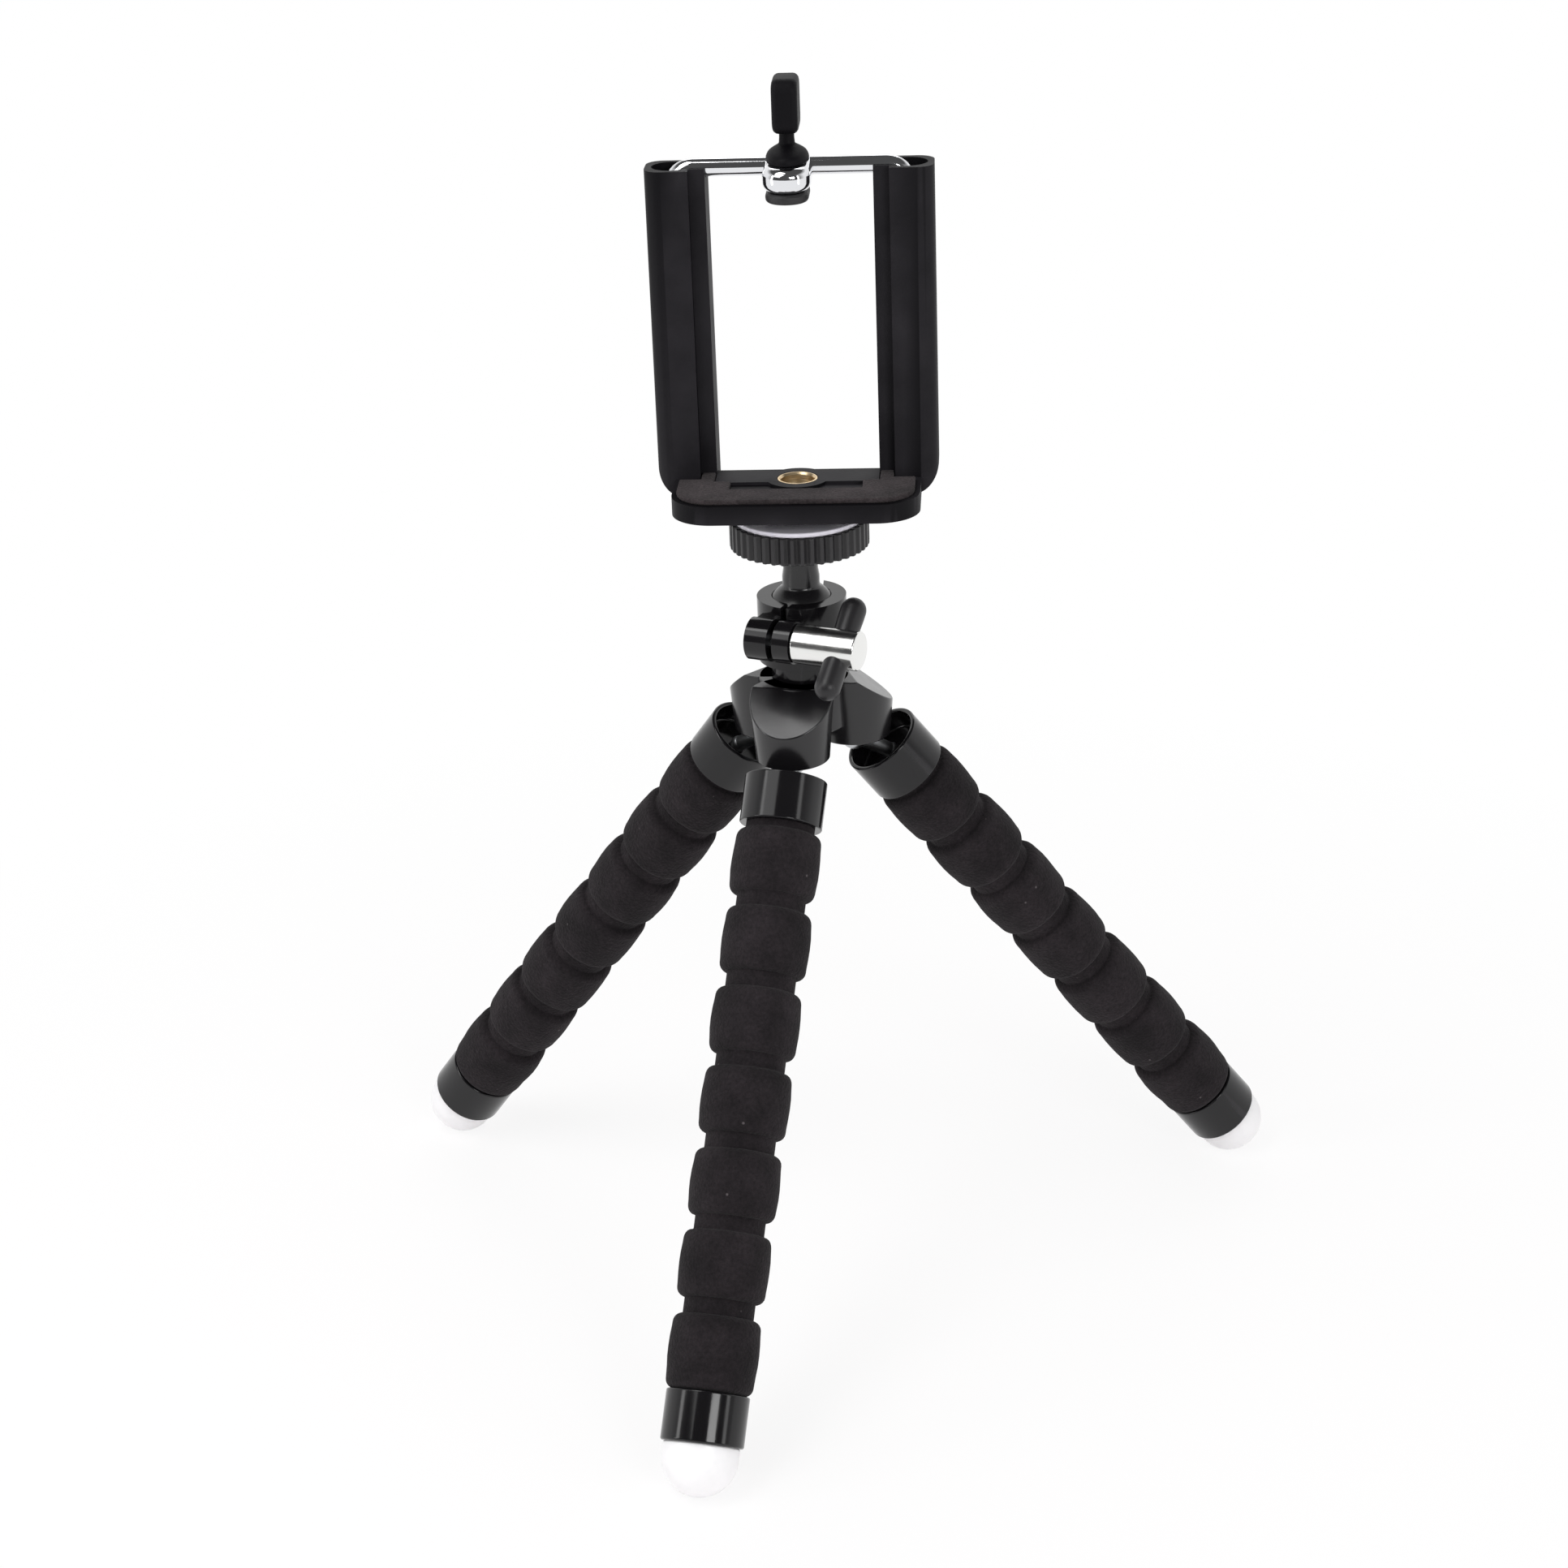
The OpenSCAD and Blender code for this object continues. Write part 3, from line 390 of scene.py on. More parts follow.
def legFrame(side):  # the leg's middle line: +Z down the leg, zero at its root
    first, last = spots[f"{side}_leg_bend_1"], spots[f"{side}_leg_bend_3"]
    along = (last - first).normalized()
    across = along.cross(Vector((0, 0, 1))).normalized()
    origin = first - along * (foam["startMm"] + foam["links"][0] * foam["pitchMm"]) * mm
    turn = Matrix((across, along.cross(across), along)).transposed().to_4x4()
    return Matrix.Translation(origin) @ turn


def lumps(bm, f):  # hand-ground foam isn't quite round: outer points move in and out a little
    for v in bm.verts:
        radius = math.hypot(v.co.x, v.co.y)
        if radius > f["lumpFromMm"] * mm:
            push = 1 + f["lumpMm"] * mm * noise.noise(v.co / (f["lumpSizeMm"] * mm)) / radius
            v.co.x *= push
            v.co.y *= push


def foamLink(index, f):
    count, pitch, gap = f["links"][index], f["pitchMm"], f["gapMm"] / 2
    top = f["startMm"] + sum(f["links"][:index]) * pitch
    end = top + count * pitch
    bore, neck, ball, seat = f["boreMm"] / 2, f["neckMm"] / 2, f["ballMm"] / 2, f["seatMm"] / 2
    crown = f["beadMm"] / 2
    edge = crown - f["crownMm"]
    firstLink, lastLink = index == 0, index == len(f["links"]) - 1
    points, rounds = [], {}
    if firstLink:
        points += [(bore, top), (neck, top)]
    else:  # ball that sits in the link above
        points += arc(ball, top, -math.acos(bore / ball), math.asin(gap / ball), f["ballSteps"])
    for j in range(count):
        z0, z1 = top + j * pitch + gap, top + (j + 1) * pitch - gap
        if j > 0 or firstLink:
            rounds[len(points)] = f["creaseMm"]
            points.append((neck, z0))
        rounds[len(points)] = f["edgeMm"]
        points.append((edge, z0))
        points += [(crown - f["crownMm"] * (2 * t - 1) ** 2 * f["crownDrop"],
                    z0 + (z1 - z0) * (f["crownFrom"] + f["crownSpan"] * t)) for t in f["crownPoints"]]
        rounds[len(points)] = f["edgeMm"]
        points.append((edge, end if lastLink and j == count - 1 else z1))
        if j < count - 1:
            rounds[len(points)] = f["creaseMm"]
            points.append((neck, z1))
    if lastLink:
        points.append((bore, end))
    else:  # seat of the next link's ball
        points += arc(seat, end, -math.asin(gap / seat), -math.acos(bore / seat), f["ballSteps"])
    bm = lathe(points, f["steps"], rounds, closed=True)
    lumps(bm, f)
    return bm


def foamNeck(pivot, f):  # thin skin of foam over a neck that bends
    neck, inner, reach = f["neckMm"] / 2, f["ballMm"] / 2 + f["skinGapMm"], f["gapMm"] / 2 + f["skinLapMm"]
    rows = [pivot - reach + 2 * reach * t / f["skinRows"] for t in range(f["skinRows"] + 1)]
    points = [(neck, z) for z in rows] + [(inner, z) for z in reversed(rows)]
    return lathe(points, f["steps"], closed=True)


chain = ("upper", "middle", "lower", "end")
for side in sides:
    place = legFrame(side)
    for i in range(4):
        piece = finishPiece(f"{side}FoamLink{i + 1}", foamLink(i, foam), "sleeveFoam",
                            f"{side}_leg_{chain[i]}", [f"{side}_leg_foam_{i + 1}"], place, smooth=foam["smooth"])
    for i in range(3):
        pivot = foam["startMm"] + sum(foam["links"][:i + 1]) * foam["pitchMm"]
        piece = finishPiece(f"{side}FoamNeck{i + 1}", foamNeck(pivot, foam), "sleeveFoam",
                            place=place, smooth=foam["smooth"])
        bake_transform(piece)
print("foam sleeves made")


# collars, end caps and feet

collar = {"fromMm": 4.6, "lengthMm": 9.4, "outerMm": 16.0, "wallMm": 0.9, "floorMm": 5.0, "boreMm": 3.1,
          "rimMm": 0.3, "floorRoundMm": 0.6, "steps": 96}
cap = {"fromMm": 121.8, "lengthMm": 9.5, "outerMm": 15.6, "topEdgeMm": 0.35, "edgeMm": 0.5, "boreMm": 3.1,
       "boreToMm": 6.05, "pegMm": 5.0, "pegToMm": 2.5, "steps": 96}
foot = {"fromMm": 131.3, "lengthMm": 9.5, "outerMm": 14.4, "edgeMm": 0.4, "pegMm": 5.0, "pegToMm": 2.5,
        "domeSteps": 10, "steps": 64}


def collarCup(c):
    outer, inner, bore = c["outerMm"] / 2, c["outerMm"] / 2 - c["wallMm"], c["boreMm"] / 2
    z0, z1 = c["fromMm"], c["fromMm"] + c["lengthMm"]
    floor = z1 - c["floorMm"]
    points = [(bore, floor), (inner, floor), (inner, z0), (outer, z0), (outer, z1), (bore, z1)]
    rounds = {1: c["floorRoundMm"], 2: c["rimMm"], 3: c["rimMm"], 4: c["rimMm"]}
    return lathe(points, c["steps"], rounds, closed=True)


def endCap(c):
    outer, bore, peg = c["outerMm"] / 2, c["boreMm"] / 2, c["pegMm"] / 2
    z0, z1 = c["fromMm"], c["fromMm"] + c["lengthMm"]
    boreEnd, pegEnd = z0 + c["boreToMm"], z1 - c["pegToMm"]
    points = [(0, boreEnd), (bore, boreEnd), (bore, z0), (outer, z0), (outer, z1), (peg, z1), (peg, pegEnd),
              (0, pegEnd)]
    return lathe(points, c["steps"], {3: c["topEdgeMm"], 4: c["edgeMm"]})


def domeFoot(f):
    z0, outer, peg = f["fromMm"], f["outerMm"] / 2, f["pegMm"] / 2
    centre, pegEnd = z0 + f["lengthMm"] - outer, z0 - f["pegToMm"]
    points = [(0, pegEnd), (peg, pegEnd), (peg, z0), (outer, z0)] + arc(outer, centre, 0, math.pi / 2, f["domeSteps"])
    return lathe(points, f["steps"], {3: f["edgeMm"]})


for side in sides:
    place = legFrame(side)
    finishPiece(f"{side}Collar", collarCup(collar), "glossAbs", f"{side}_leg_upper",
                [f"{side}_leg_collar"], place)
    finishPiece(f"{side}EndCap", endCap(cap), "glossAbs", f"{side}_leg_end", [f"{side}_leg_cap"], place)
    shape = domeFoot(foot)
    bmesh.ops.transform(shape, matrix=place, verts=shape.verts[:])
    cutOff(shape, (0, 0, 0), (0, 0, -1))  # flat where it stands
    finishPiece(f"{side}Foot", shape, "footVinyl", f"{side}_leg_end", [f"{side}_leg_foot"])
print("collars, caps and feet made")


# hub

hub = {"lowMm": 14.3, "highMm": 16.6, "circleMm": 9.8, "firstAngle": -102, "facetAngle": 36.6, "facetFromMm": 8.5,
       "edgeMm": 0.9, "edgeSteps": 4, "sharpAngle": 20, "boreMm": 7.3, "boreToMm": 8.75, "sinkMm": 10.4,
       "coreMm": 18.0, "coreRiseMm": 4.0, "coreLowMm": 0.5, "coreTopMm": 0.4,
       "screwMm": 5.1, "headMm": 9.1, "headToMm": 3.6, "steps": 96}
hubLow, hubHigh = (c.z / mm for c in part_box("leg_hub"))


def hubLobe(angle, h):
    bm = bmesh.new()
    height = hubHigh - hubLow
    bmesh.ops.create_cone(bm, cap_ends=True, segments=h["steps"], radius1=h["lowMm"] / 2 * mm,
                          radius2=h["highMm"] / 2 * mm, depth=height * mm)
    shift(bm, h["circleMm"], 0, hubLow + height / 2)
    slope = math.radians(h["facetAngle"])
    cutOff(bm, (h["facetFromMm"] * mm, 0, hubHigh * mm), (math.sin(slope), 0, math.cos(slope)))
    bmesh.ops.recalc_face_normals(bm, faces=bm.faces[:])
    bevelSharp(bm, h["edgeMm"], h["sharpAngle"], h["edgeSteps"])
    under = min(bm.faces, key=lambda f: f.normal.z * f.calc_area())
    sink, bore = h["sinkMm"] / 2, h["boreMm"] / 2
    for radius, rise in ((sink, 0), (bore, sink - bore), (bore, h["boreToMm"])):  # countersink, then the bore
        under = bmesh.ops.extrude_discrete_faces(bm, faces=[under])["faces"][0]
        middle = Vector((h["circleMm"] * mm, 0, (hubLow + rise) * mm))
        for v in under.verts:
            v.co = middle + Vector((v.co.x - middle.x, v.co.y, 0)).normalized() * radius * mm
    bmesh.ops.transform(bm, matrix=turned(angle, "Z"), verts=bm.verts[:])
    return bm


def hubCore(h):
    core, head, screw = h["coreMm"] / 2, h["headMm"] / 2, h["screwMm"] / 2
    low = hubLow + h["coreRiseMm"]
    step = low + h["headToMm"]
    points = [(head, low), (core, low), (core, hubHigh), (screw, hubHigh), (screw, step), (head, step)]
    return lathe(points, h["steps"], {1: h["coreLowMm"], 2: h["coreTopMm"]}, closed=True)


lobes = [hubLobe(hub["firstAngle"] + 120 * k, hub) for k in range(3)]
finishPiece("hubCasting", joined([hubCore(hub)] + lobes), "hubAbs", "hub", ["leg_hub"], recalc=False)
print("hub made")


# ball head

socket = {"mergeMm": 0.03, "edgeMm": 0.28, "edgeSteps": 3, "sharpAngle": 35}
finishPiece("ballSocket", softened("ball_socket", socket), "glossAbs", "head", ["ball_socket"],
            recalc=False)

stud = {"ballMm": 13.8, "ballSteps": 24, "neckMm": 6.7, "flareMm": 7.2, "flareToMm": 8.9, "flareWideMm": 0.25,
        "flareBelowMm": 1, "flareAboveMm": 0.6, "rootMm": 0.5, "edgeMm": 0.25, "lengthMm": 14.0, "boreMm": 4.0,
        "boreToMm": 8.0, "steps": 96}
ballZ = spots["ball_tilt"].z / mm


def ballStud(s):
    ball, neck, bore = s["ballMm"] / 2, s["neckMm"] / 2, s["boreMm"] / 2
    top, flare = ballZ + s["lengthMm"], ballZ + s["flareToMm"]
    boreEnd = top - s["boreToMm"]
    points = arc(ball, ballZ, -math.pi / 2, math.acos(s["flareMm"] / 2 / ball), s["ballSteps"])
    points += [(neck + s["flareWideMm"], flare - s["flareBelowMm"]), (neck, flare + s["flareAboveMm"]), (neck, top),
               (bore, top), (bore, boreEnd), (0, boreEnd)]
    return lathe(points, s["steps"], {s["ballSteps"]: s["rootMm"], s["ballSteps"] + 3: s["edgeMm"]})


finishPiece("ballStud", ballStud(stud), "hubAbs", "stud", ["ball_stud"])

clampAxis = next(Vector(j["axis"]) for j in frame["joints"] if j["name"] == "clamp_knob_turn")
clampTurn = Matrix.Rotation(math.atan2(clampAxis.y, clampAxis.x), 4, "Z") @ turned(90, "Y")
clampPlace = Matrix.Translation(spots["clamp_knob_turn"]) @ clampTurn
barrel = {"fromMm": 4.2, "lengthMm": 13.0, "outerMm": 7.6, "innerEdgeMm": 0.3, "edgeMm": 0.45, "screwMm": 3.02,
          "screwToMm": 9.7, "steps": 96}
bar = {"atMm": 13.2, "outerMm": 5.0, "waistMm": 4.7, "waistToMm": 2.5, "endFrom": 0.62, "endSteps": 8,
       "lengthMm": 22.0, "turn": 50, "steps": 48}


def clampBarrel(b):
    outer, z0, z1, bore = b["outerMm"] / 2, b["fromMm"], b["fromMm"] + b["lengthMm"], b["screwMm"] / 2
    points = [(0, b["screwToMm"]), (bore, b["screwToMm"]), (bore, z0), (outer, z0), (outer, z1), (0, z1)]
    return lathe(points, b["steps"], {3: b["innerEdgeMm"], 4: b["edgeMm"]})


def clampBar(b):
    half, end, waist = b["lengthMm"] / 2, b["outerMm"] / 2, b["waistMm"] / 2
    upper = [(waist, 0), (waist, b["waistToMm"]), (end, half * b["endFrom"])]
    upper += arc(end, half - end, 0, math.pi / 2, b["endSteps"])
    points = [(x, -z) for x, z in reversed(upper[1:])] + upper
    return lathe(points, b["steps"])


finishPiece("clampBarrel", clampBarrel(barrel), "nickel", "clamp_knob", ["clamp_barrel"], clampPlace)
barTurn = moved(0, 0, bar["atMm"]) @ turned(-90, "Y") @ turned(-bar["turn"], "X")
finishPiece("clampBar", clampBar(bar), "ribbedAbs", "clamp_knob", ["clamp_bar"], clampPlace @ barTurn)
print("ball head made")


# thumb wheel

wheel = {"outerMm": 26.8, "heightMm": 5.5, "ribs": 44, "ribPoints": 6, "grooveMm": 0.55,
         "grooveShape": (0.75, 1.0, 0.75), "edgeMm": 0.35, "edgeSteps": 3, "rimAngle": 60, "levelMm": 0.01,
         "boreMm": 6.45, "smooth": 30}
wheelPad = {"outerMm": 25.0, "heightMm": 0.8, "edgeMm": 0.3, "boreMm": 6.45, "steps": 96}
wheelLow, wheelHigh = (c.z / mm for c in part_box("thumb_wheel"))


def thumbWheel(w):
    bm = bmesh.new()
    bmesh.ops.create_circle(bm, cap_ends=True, segments=w["ribs"] * w["ribPoints"], radius=w["outerMm"] / 2 * mm)
    bm.verts.ensure_lookup_table()
    for i, v in enumerate(bm.verts):  # three points of every six go in, as a groove between two ribs
        step = i % w["ribPoints"]
        if step < len(w["grooveShape"]):
            v.co *= 1 - w["grooveMm"] * w["grooveShape"][step] * mm / v.co.length
    hole = bmesh.ops.extrude_discrete_faces(bm, faces=bm.faces[:])["faces"]
    for v in hole[0].verts:
        v.co *= (w["boreMm"] / 2 * mm) / v.co.length
    bmesh.ops.delete(bm, geom=hole, context="FACES")
    extrudeUp(bm, w["heightMm"])
    rims = [e for e in bm.edges if e.calc_face_angle(0) > math.radians(w["rimAngle"])
            and abs(e.verts[0].co.z - e.verts[1].co.z) < w["levelMm"] * mm]
    bmesh.ops.bevel(bm, geom=rims, offset=w["edgeMm"] * mm, segments=w["edgeSteps"], profile=0.5, affect="EDGES",
                    material=-1, clamp_overlap=True)
    shift(bm, 0, 0, wheelLow)
    return bm


def padRing(p):
    outer, bore, top = p["outerMm"] / 2, p["boreMm"] / 2, wheelHigh + p["heightMm"]
    points = [(bore, wheelHigh), (outer, wheelHigh), (outer, top), (bore, top)]
    return lathe(points, p["steps"], {2: p["edgeMm"]}, closed=True)


finishPiece("thumbWheel", thumbWheel(wheel), "ribbedAbs", "wheel", ["thumb_wheel"],
            smooth=wheel["smooth"])
padPiece = finishPiece("wheelPad", padRing(wheelPad), "wheelPad", "wheel", ["wheel_pad"])
print("thumb wheel made")


# phone holder

holder = {"mergeMm": 0.02, "edgeMm": 0.45, "edgeSteps": 3, "sharpAngle": 35}
ledgePad = {"mergeMm": 0.02, "edgeMm": 0.3, "edgeSteps": 3, "sharpAngle": 35}
finishPiece("holderFrame", softened("holder_frame", holder), "satinAbs", "holder", ["holder_frame"],
            recalc=False)
padPiece = finishPiece("ledgePad", softened("ledge_pad", ledgePad), "padFoam", "holder", ["ledge_pad"],
                       recalc=False)

insert = {"outerMm": 7.8, "boreMm": 6.45, "mouthMm": 0.3, "pitchMm": 1.27, "threadMm": 0.1, "threadFromMm": 0.4,
          "lowEdgeMm": 0.2, "topEdgeMm": 0.25, "steps": 64}
insertLow, insertHigh = (c.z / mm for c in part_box("brass_insert"))


def brassInsert(b):
    outer, bore, z0, z1 = b["outerMm"] / 2, b["boreMm"] / 2, insertLow, insertHigh
    points = [(bore, z0), (outer, z0), (outer, z1), (bore + b["mouthMm"], z1)]
    for t in range(int((z1 - z0) / b["pitchMm"])):  # rings of thread down the hole
        z = z1 - b["threadFromMm"] - t * b["pitchMm"]
        points += [(bore, z), (bore + b["threadMm"], z - b["pitchMm"] / 2)]
    return lathe(points, b["steps"], {1: b["lowEdgeMm"], 2: b["topEdgeMm"]}, closed=True)


finishPiece("brassInsert", brassInsert(insert), "brass", "holder", ["brass_insert"])
print("phone holder made")


# sprung bow and its springs

bow = {"rodMm": 3.4, "bendMm": 4.0, "bendSteps": 14, "spanMm": 21.95, "steps": 32}
bowLow, bowHigh = (c.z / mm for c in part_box("sprung_bow"))
rodY = sum(c.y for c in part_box("sprung_bow")) / 2 / mm


def growRing(bm, ring, vec):  # a tube goes straight on from its open end
    grown = bmesh.ops.extrude_edge_only(bm, edges=ring)["geom"]
    ends = vertsIn(grown)
    bmesh.ops.translate(bm, vec=vec, verts=ends)
    return [e for e in edgesIn(grown) if set(e.verts) <= set(ends)]


def bendRing(bm, ring, centre, steps):  # and turns a quarter circle inwards
    turn = bmesh.ops.spin(bm, geom=ring, cent=centre, axis=(0, -1, 0), dvec=(0, 0, 0), angle=math.pi / 2, steps=steps,
                          use_merge=False, use_normal_flip=False, use_duplicate=False)
    return edgesIn(turn["geom_last"])


def closeEnds(bm, count):
    bmesh.ops.holes_fill(bm, edges=[e for e in bm.edges if e.is_boundary], sides=count)


def sprungBow(b):
    bm = bmesh.new()
    x, r, turnZ = b["spanMm"] * mm, b["bendMm"] * mm, (bowHigh - b["rodMm"] / 2 - b["bendMm"]) * mm
    bmesh.ops.create_circle(bm, cap_ends=False, segments=b["steps"], radius=b["rodMm"] / 2 * mm)
    shift(bm, b["spanMm"], rodY, bowLow)
    ring = growRing(bm, bm.edges[:], (0, 0, turnZ - bowLow * mm))
    ring = bendRing(bm, ring, (x - r, rodY * mm, turnZ), b["bendSteps"])
    ring = growRing(bm, ring, (-2 * (x - r), 0, 0))
    ring = bendRing(bm, ring, (r - x, rodY * mm, turnZ), b["bendSteps"])
    growRing(bm, ring, (0, 0, bowLow * mm - turnZ))
    closeEnds(bm, b["steps"])
    return bm


finishPiece("sprungBow", sprungBow(bow), "chrome", "bow", ["sprung_bow"])

spring = {"wireMm": 0.7, "coilMm": 5.5, "turns": 16, "wireSides": 8, "stepsPerTurn": 20, "smooth": 60}
springLow, springHigh = (c.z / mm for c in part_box("rod_springs"))


def rodSpring(s, x):
    bm = bmesh.new()
    bmesh.ops.create_circle(bm, cap_ends=False, segments=s["wireSides"], radius=s["wireMm"] / 2 * mm)
    bmesh.ops.transform(bm, matrix=turned(90, "X"), verts=bm.verts[:])
    shift(bm, x + s["coilMm"] / 2, rodY, springLow + s["wireMm"] / 2)
    steps = s["turns"] * s["stepsPerTurn"]
    rise = (springHigh - springLow - s["wireMm"]) / steps
    bmesh.ops.spin(bm, geom=bm.verts[:] + bm.edges[:], cent=(x * mm, rodY * mm, 0), axis=(0, 0, 1),
                   dvec=(0, 0, rise * mm), angle=2 * math.pi * s["turns"], steps=steps,
                   use_merge=False, use_normal_flip=False, use_duplicate=False)
    closeEnds(bm, s["wireSides"])
    return bm


springPair = joined([rodSpring(spring, bow["spanMm"]), rodSpring(spring, -bow["spanMm"])])
springs = finishPiece("rodSprings", springPair, "springSteel", replaces=["rod_springs"],
                      smooth=spring["smooth"])
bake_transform(springs)
print("sprung bow made")


# hook

hook = {"widthMm": 9.0, "cornerShare": 0.98, "edgeMm": 2.1, "edgeSteps": 5, "sharpAngle": 60}
hookPad = {**hook, "widthMm": 8.0, "edgeMm": 0.8}
grip = {"flareMm": 8.0, "flareToMm": 3.4, "rimMm": 1.4, "domeShare": 0.62, "domeMm": 1.2, "oval": 1.56,
        "stemMm": 2.8, "stemWideMm": 0.1, "stemBelowMm": 0.3, "stemAboveMm": 0.9, "stemToMm": 5.4, "stemInMm": 2,
        "roundsMm": {1: 0.2, 2: 0.9, 3: 0.8, 4: 0.3}, "steps": 48, "paddleThickMm": 4.8, "paddleWideMm": 10.0,
        "paddleHighMm": 10.0, "roundMm": 2.5, "edgeMm": 1.1, "edgeSteps": 4, "sharpAngle": 60}


def stadium(box, h):
    r, front, back = h["widthMm"] / 2, box[0].y / mm, box[1].y / mm
    bm = prism([(-r, front), (r, front), (r, back), (-r, back)], {i: r * h["cornerShare"] for i in range(4)},
               box[0].z / mm, box[1].z / mm)
    bevelSharp(bm, h["edgeMm"], h["sharpAngle"], h["edgeSteps"])
    return bm


finishPiece("hookBlock", stadium(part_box("hook_block"), hook), "chrome", "bow", ["hook_block"])
finishPiece("hookPad", stadium(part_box("hook_pad"), hookPad), "rubber", "bow", ["hook_pad"])
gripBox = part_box("hook_grip")


def hookGrip(g):
    low = gripBox[0].z / mm
    flare, stem = g["flareMm"] / 2, g["stemMm"] / 2
    rim, flareTop, stemTop = low + g["rimMm"], low + g["flareToMm"], low + g["stemToMm"] + g["stemInMm"]
    points = [(0, low), (flare, low), (flare, rim), (flare * g["domeShare"], rim + g["domeMm"]),
              (stem + g["stemWideMm"], flareTop - g["stemBelowMm"]), (stem, flareTop + g["stemAboveMm"]),
              (stem, stemTop), (0, stemTop)]
    base = lathe(points, g["steps"], g["roundsMm"])
    for v in base.verts:  # the flared foot is oval, longer from front to back, and its stem is round
        height = (v.co.z / mm - rim) / (flareTop - rim)
        v.co.y *= g["oval"] - (g["oval"] - 1) * min(max(height, 0), 1)
    half, high = g["paddleWideMm"] / 2, g["paddleHighMm"]
    paddle = prism([(-half, 0), (half, 0), (half, high), (-half, high)], {i: g["roundMm"] for i in range(4)},
                   0, g["paddleThickMm"])
    bevelSharp(paddle, g["edgeMm"], g["sharpAngle"], g["edgeSteps"])
    stand = moved(-g["paddleThickMm"] / 2, 0, low + g["stemToMm"]) @ turned(90, "Z") @ turned(90, "X")
    bmesh.ops.transform(paddle, matrix=stand, verts=paddle.verts[:])
    both = joined([base, paddle])
    shift(both, 0, (gripBox[0].y + gripBox[1].y) / 2 / mm, 0)
    return both


finishPiece("hookGrip", hookGrip(grip), "satinAbs", "bow", ["hook_grip"])
print("hook made")


# CAD nodes that stay: their own shape, a real finish

kept = {"hub_screw": "steel", "clamp_nut": "steel", "clamp_screw": "steel", "camera_screw": "steel",
        "rod_guides": "satinAbs", "rod_stops": "steel"}
for side in sides:
    kept[f"{side}_leg_ferrule"] = "blackSteel"
    for i in range(1, 5):
        kept[f"{side}_leg_wire_{i}"] = "wire"
for name, finish in kept.items():
    for place in nodes[name].material_slots:
        place.material = finishes[finish]
print("inner pieces finished:", len(kept))


# floor, studio light and white background

studio = {"floorM": 4.0, "floorSides": 64, "floorColour": "#fdfafb", "shadowShare": 0.16, "shadowM": (0.12, 0.3),
          "soft": 0.45, "dark": 0.08, "darkAbove": (0.45, 0.7), "darkBefore": (-0.5, 0.1), "white": (1, 1, 1, 1)}
lamps = {"aimM": (0, 0, 0.11), "each": {
    "keyLeft": {"atM": (-0.5, -0.5, 0.8), "sizeM": (0.5, 0.5), "watts": 1.7},
    "stripRight": {"atM": (0.6, -0.35, 0.3), "sizeM": (0.1, 0.6), "watts": 0.5},
    "stripLeft": {"atM": (-0.62, -0.25, 0.3), "sizeM": (0.1, 0.6), "watts": 0.8},
    "highBack": {"atM": (0.0, 0.8, 0.8), "sizeM": (0.7, 0.3), "watts": 1.5},
    "overFront": {"atM": (-0.3, -0.2, 0.95), "sizeM": (0.34, 0.4), "watts": 2.2},
    "frontFill": {"atM": (0.5, -0.9, 0.55), "sizeM": (0.4, 0.3), "watts": 3.2}}}


def makeFloor(s):  # seen directly or in a mirror it is white, with a soft shadow near the feet
    bm = bmesh.new()
    bmesh.ops.create_circle(bm, cap_ends=True, segments=s["floorSides"], radius=s["floorM"])
    mesh = bpy.data.meshes.new("floor")
    bm.to_mesh(mesh)
    bm.free()
    floor = bpy.data.objects.new("floor", mesh)
    bpy.context.collection.objects.link(floor)
    material = bpy.data.materials.new("paleStudioFloor")
    tree = emptyTree(material)
    path = addNode(tree, "ShaderNodeLightPath").outputs
    seen = addNode(tree, "ShaderNodeMath", {0: path["Is Camera Ray"], 1: path["Is Glossy Ray"]}, operation="MAXIMUM")
    seen = addNode(tree, "ShaderNodeMath", {0: seen.outputs[0], 1: path["Is Transmission Ray"]}, operation="MAXIMUM")
    spot = addNode(tree, "ShaderNodeTexCoord").outputs["Object"]
    far = addNode(tree, "ShaderNodeVectorMath", {0: spot}, operation="LENGTH")
    share = addNode(tree, "ShaderNodeMapRange", {
        "Value": far.outputs["Value"], "From Min": s["shadowM"][0], "From Max": s["shadowM"][1],
        "To Min": 1 - s["shadowShare"], "To Max": 1.0})
    white = addNode(tree, "ShaderNodeMath", {0: seen.outputs[0], 1: share.outputs[0]}, operation="MULTIPLY")
    diffuse = addNode(tree, "ShaderNodeBsdfDiffuse", {"Color": hexColour(s["floorColour"])})
    glow = addNode(tree, "ShaderNodeEmission", {"Color": s["white"], "Strength": 1.0})
    mix = addNode(tree, "ShaderNodeMixShader", {0: white.outputs[0], 1: diffuse.outputs[0], 2: glow.outputs[0]})
    addNode(tree, "ShaderNodeOutputMaterial", {"Surface": mix.outputs[0]})
    mesh.materials.append(material)


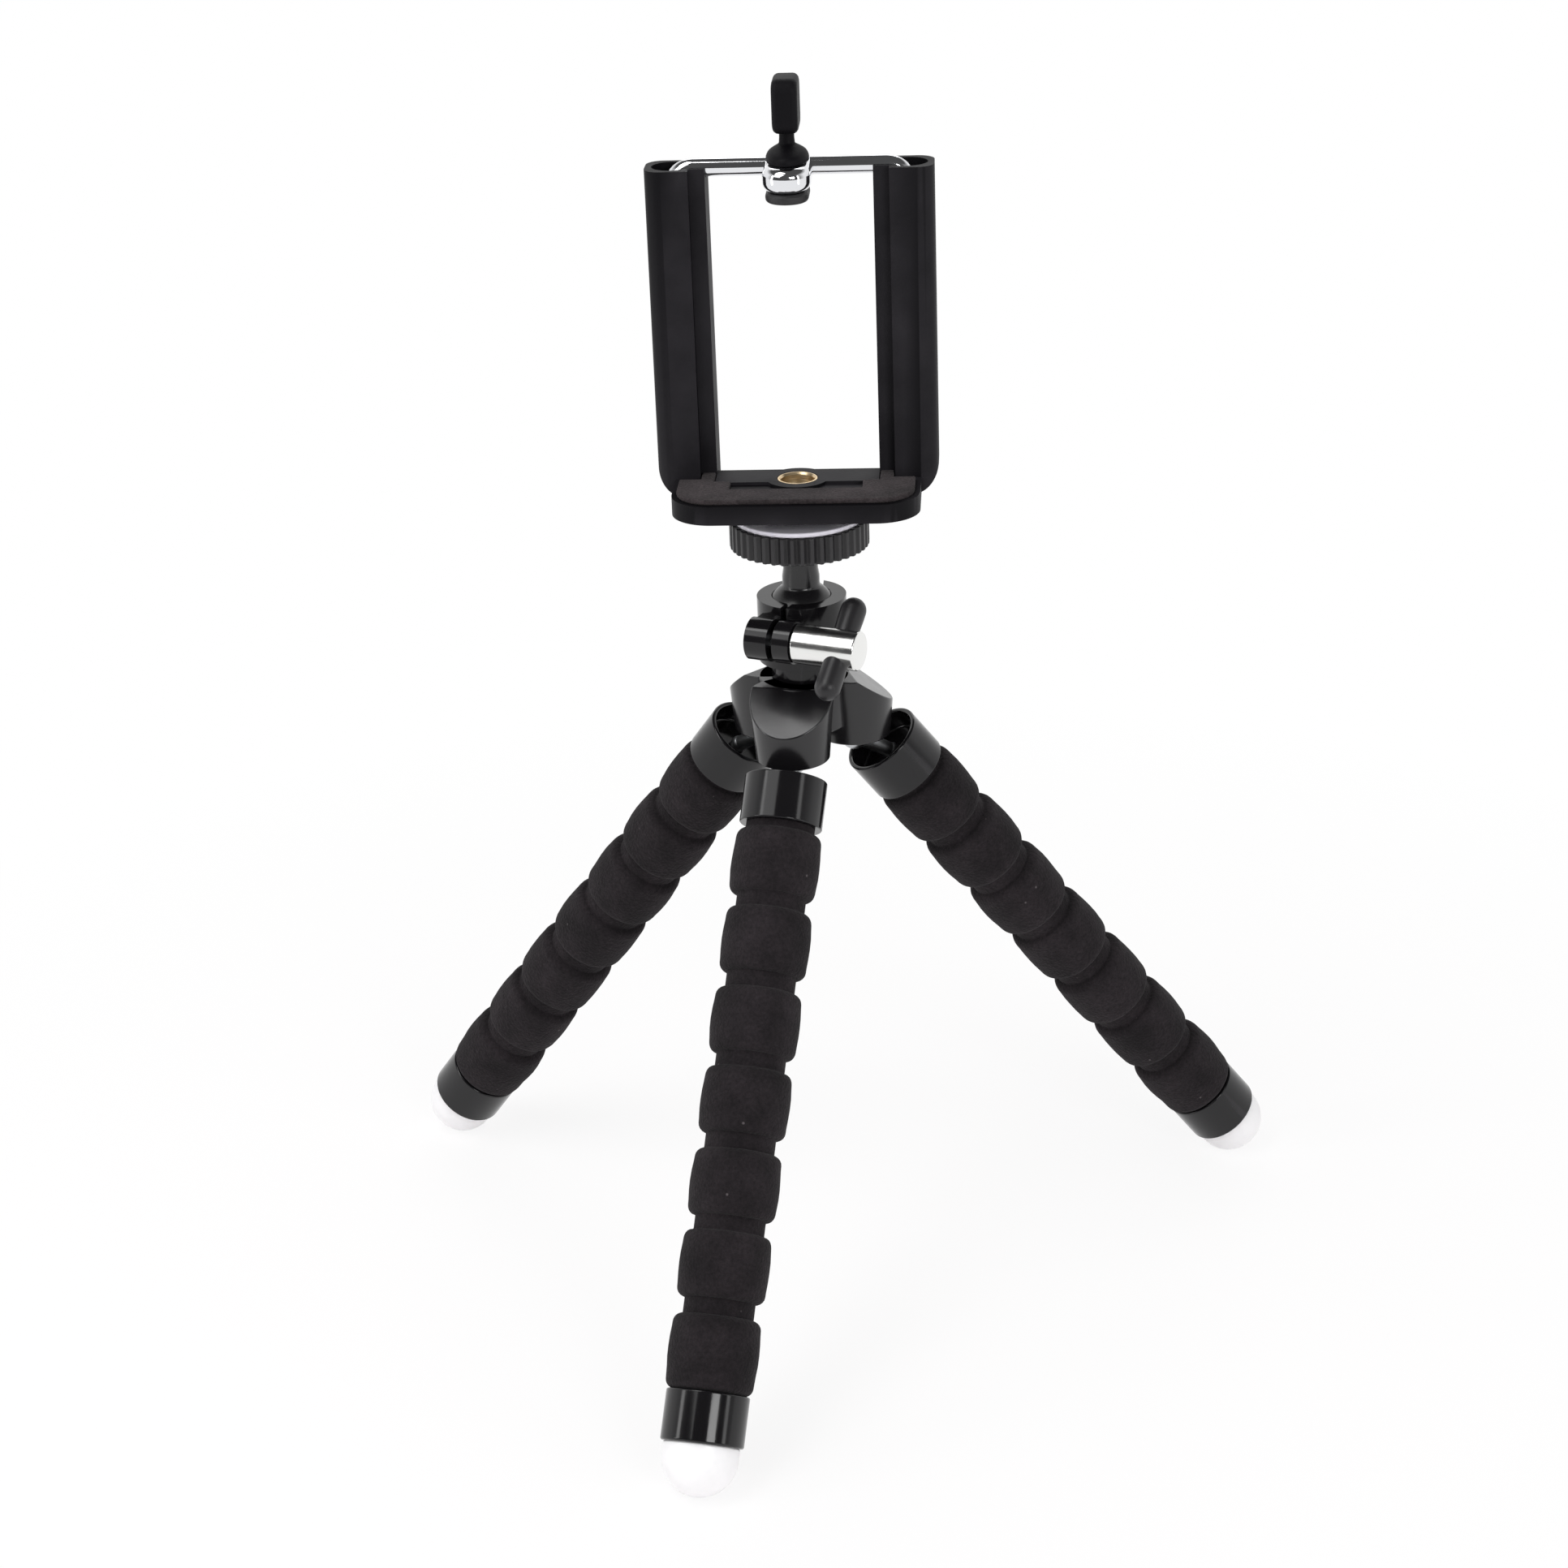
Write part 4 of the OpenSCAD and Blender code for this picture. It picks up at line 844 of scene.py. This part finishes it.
def makeWorld(s):  # a white cove behind the object, a dark room over it and on the camera's side
    world = bpy.data.worlds.new("studio")
    bpy.context.scene.world = world
    tree = emptyTree(world)
    path = addNode(tree, "ShaderNodeLightPath").outputs
    way = addNode(tree, "ShaderNodeSeparateXYZ", {0: addNode(tree, "ShaderNodeTexCoord").outputs["Generated"]})
    above = addNode(tree, "ShaderNodeMapRange", {
        "Value": way.outputs["Z"], "From Min": s["darkAbove"][0], "From Max": s["darkAbove"][1],
        "To Min": 1.0, "To Max": s["dark"]})
    behind = addNode(tree, "ShaderNodeMapRange", {
        "Value": way.outputs["Y"], "From Min": s["darkBefore"][0], "From Max": s["darkBefore"][1],
        "To Min": s["dark"], "To Max": 1.0})
    cove = addNode(tree, "ShaderNodeMath", {0: above.outputs[0], 1: behind.outputs[0]}, operation="MINIMUM")
    mirror = addNode(tree, "ShaderNodeMath", {0: path["Is Glossy Ray"], 1: cove.outputs[0]}, operation="MULTIPLY")
    direct = addNode(tree, "ShaderNodeMath", {0: path["Is Camera Ray"], 1: path["Is Transmission Ray"]},
                     operation="MAXIMUM")
    soft = addNode(tree, "ShaderNodeMath", {0: path["Is Diffuse Ray"], 1: s["soft"]}, operation="MULTIPLY")
    strength = addNode(tree, "ShaderNodeMath", {0: mirror.outputs[0], 1: direct.outputs[0]}, operation="MAXIMUM")
    strength = addNode(tree, "ShaderNodeMath", {0: strength.outputs[0], 1: soft.outputs[0]}, operation="MAXIMUM")
    light = addNode(tree, "ShaderNodeBackground", {"Color": s["white"], "Strength": strength.outputs[0]})
    addNode(tree, "ShaderNodeOutputWorld", {"Surface": light.outputs[0]})


def makeLamps(group):
    for name, l in group["each"].items():
        lamp = bpy.data.lights.new(name, "AREA")
        lamp.shape, lamp.energy = "RECTANGLE", l["watts"]
        lamp.size, lamp.size_y = l["sizeM"]
        lampObject = bpy.data.objects.new(name, lamp)
        bpy.context.collection.objects.link(lampObject)
        lampObject.location = l["atM"]
        aim = Vector(group["aimM"]) - Vector(l["atM"])
        lampObject.rotation_euler = aim.to_track_quat("-Z", "Y").to_euler()


makeFloor(studio)
makeWorld(studio)
makeLamps(lamps)
print("studio set up")
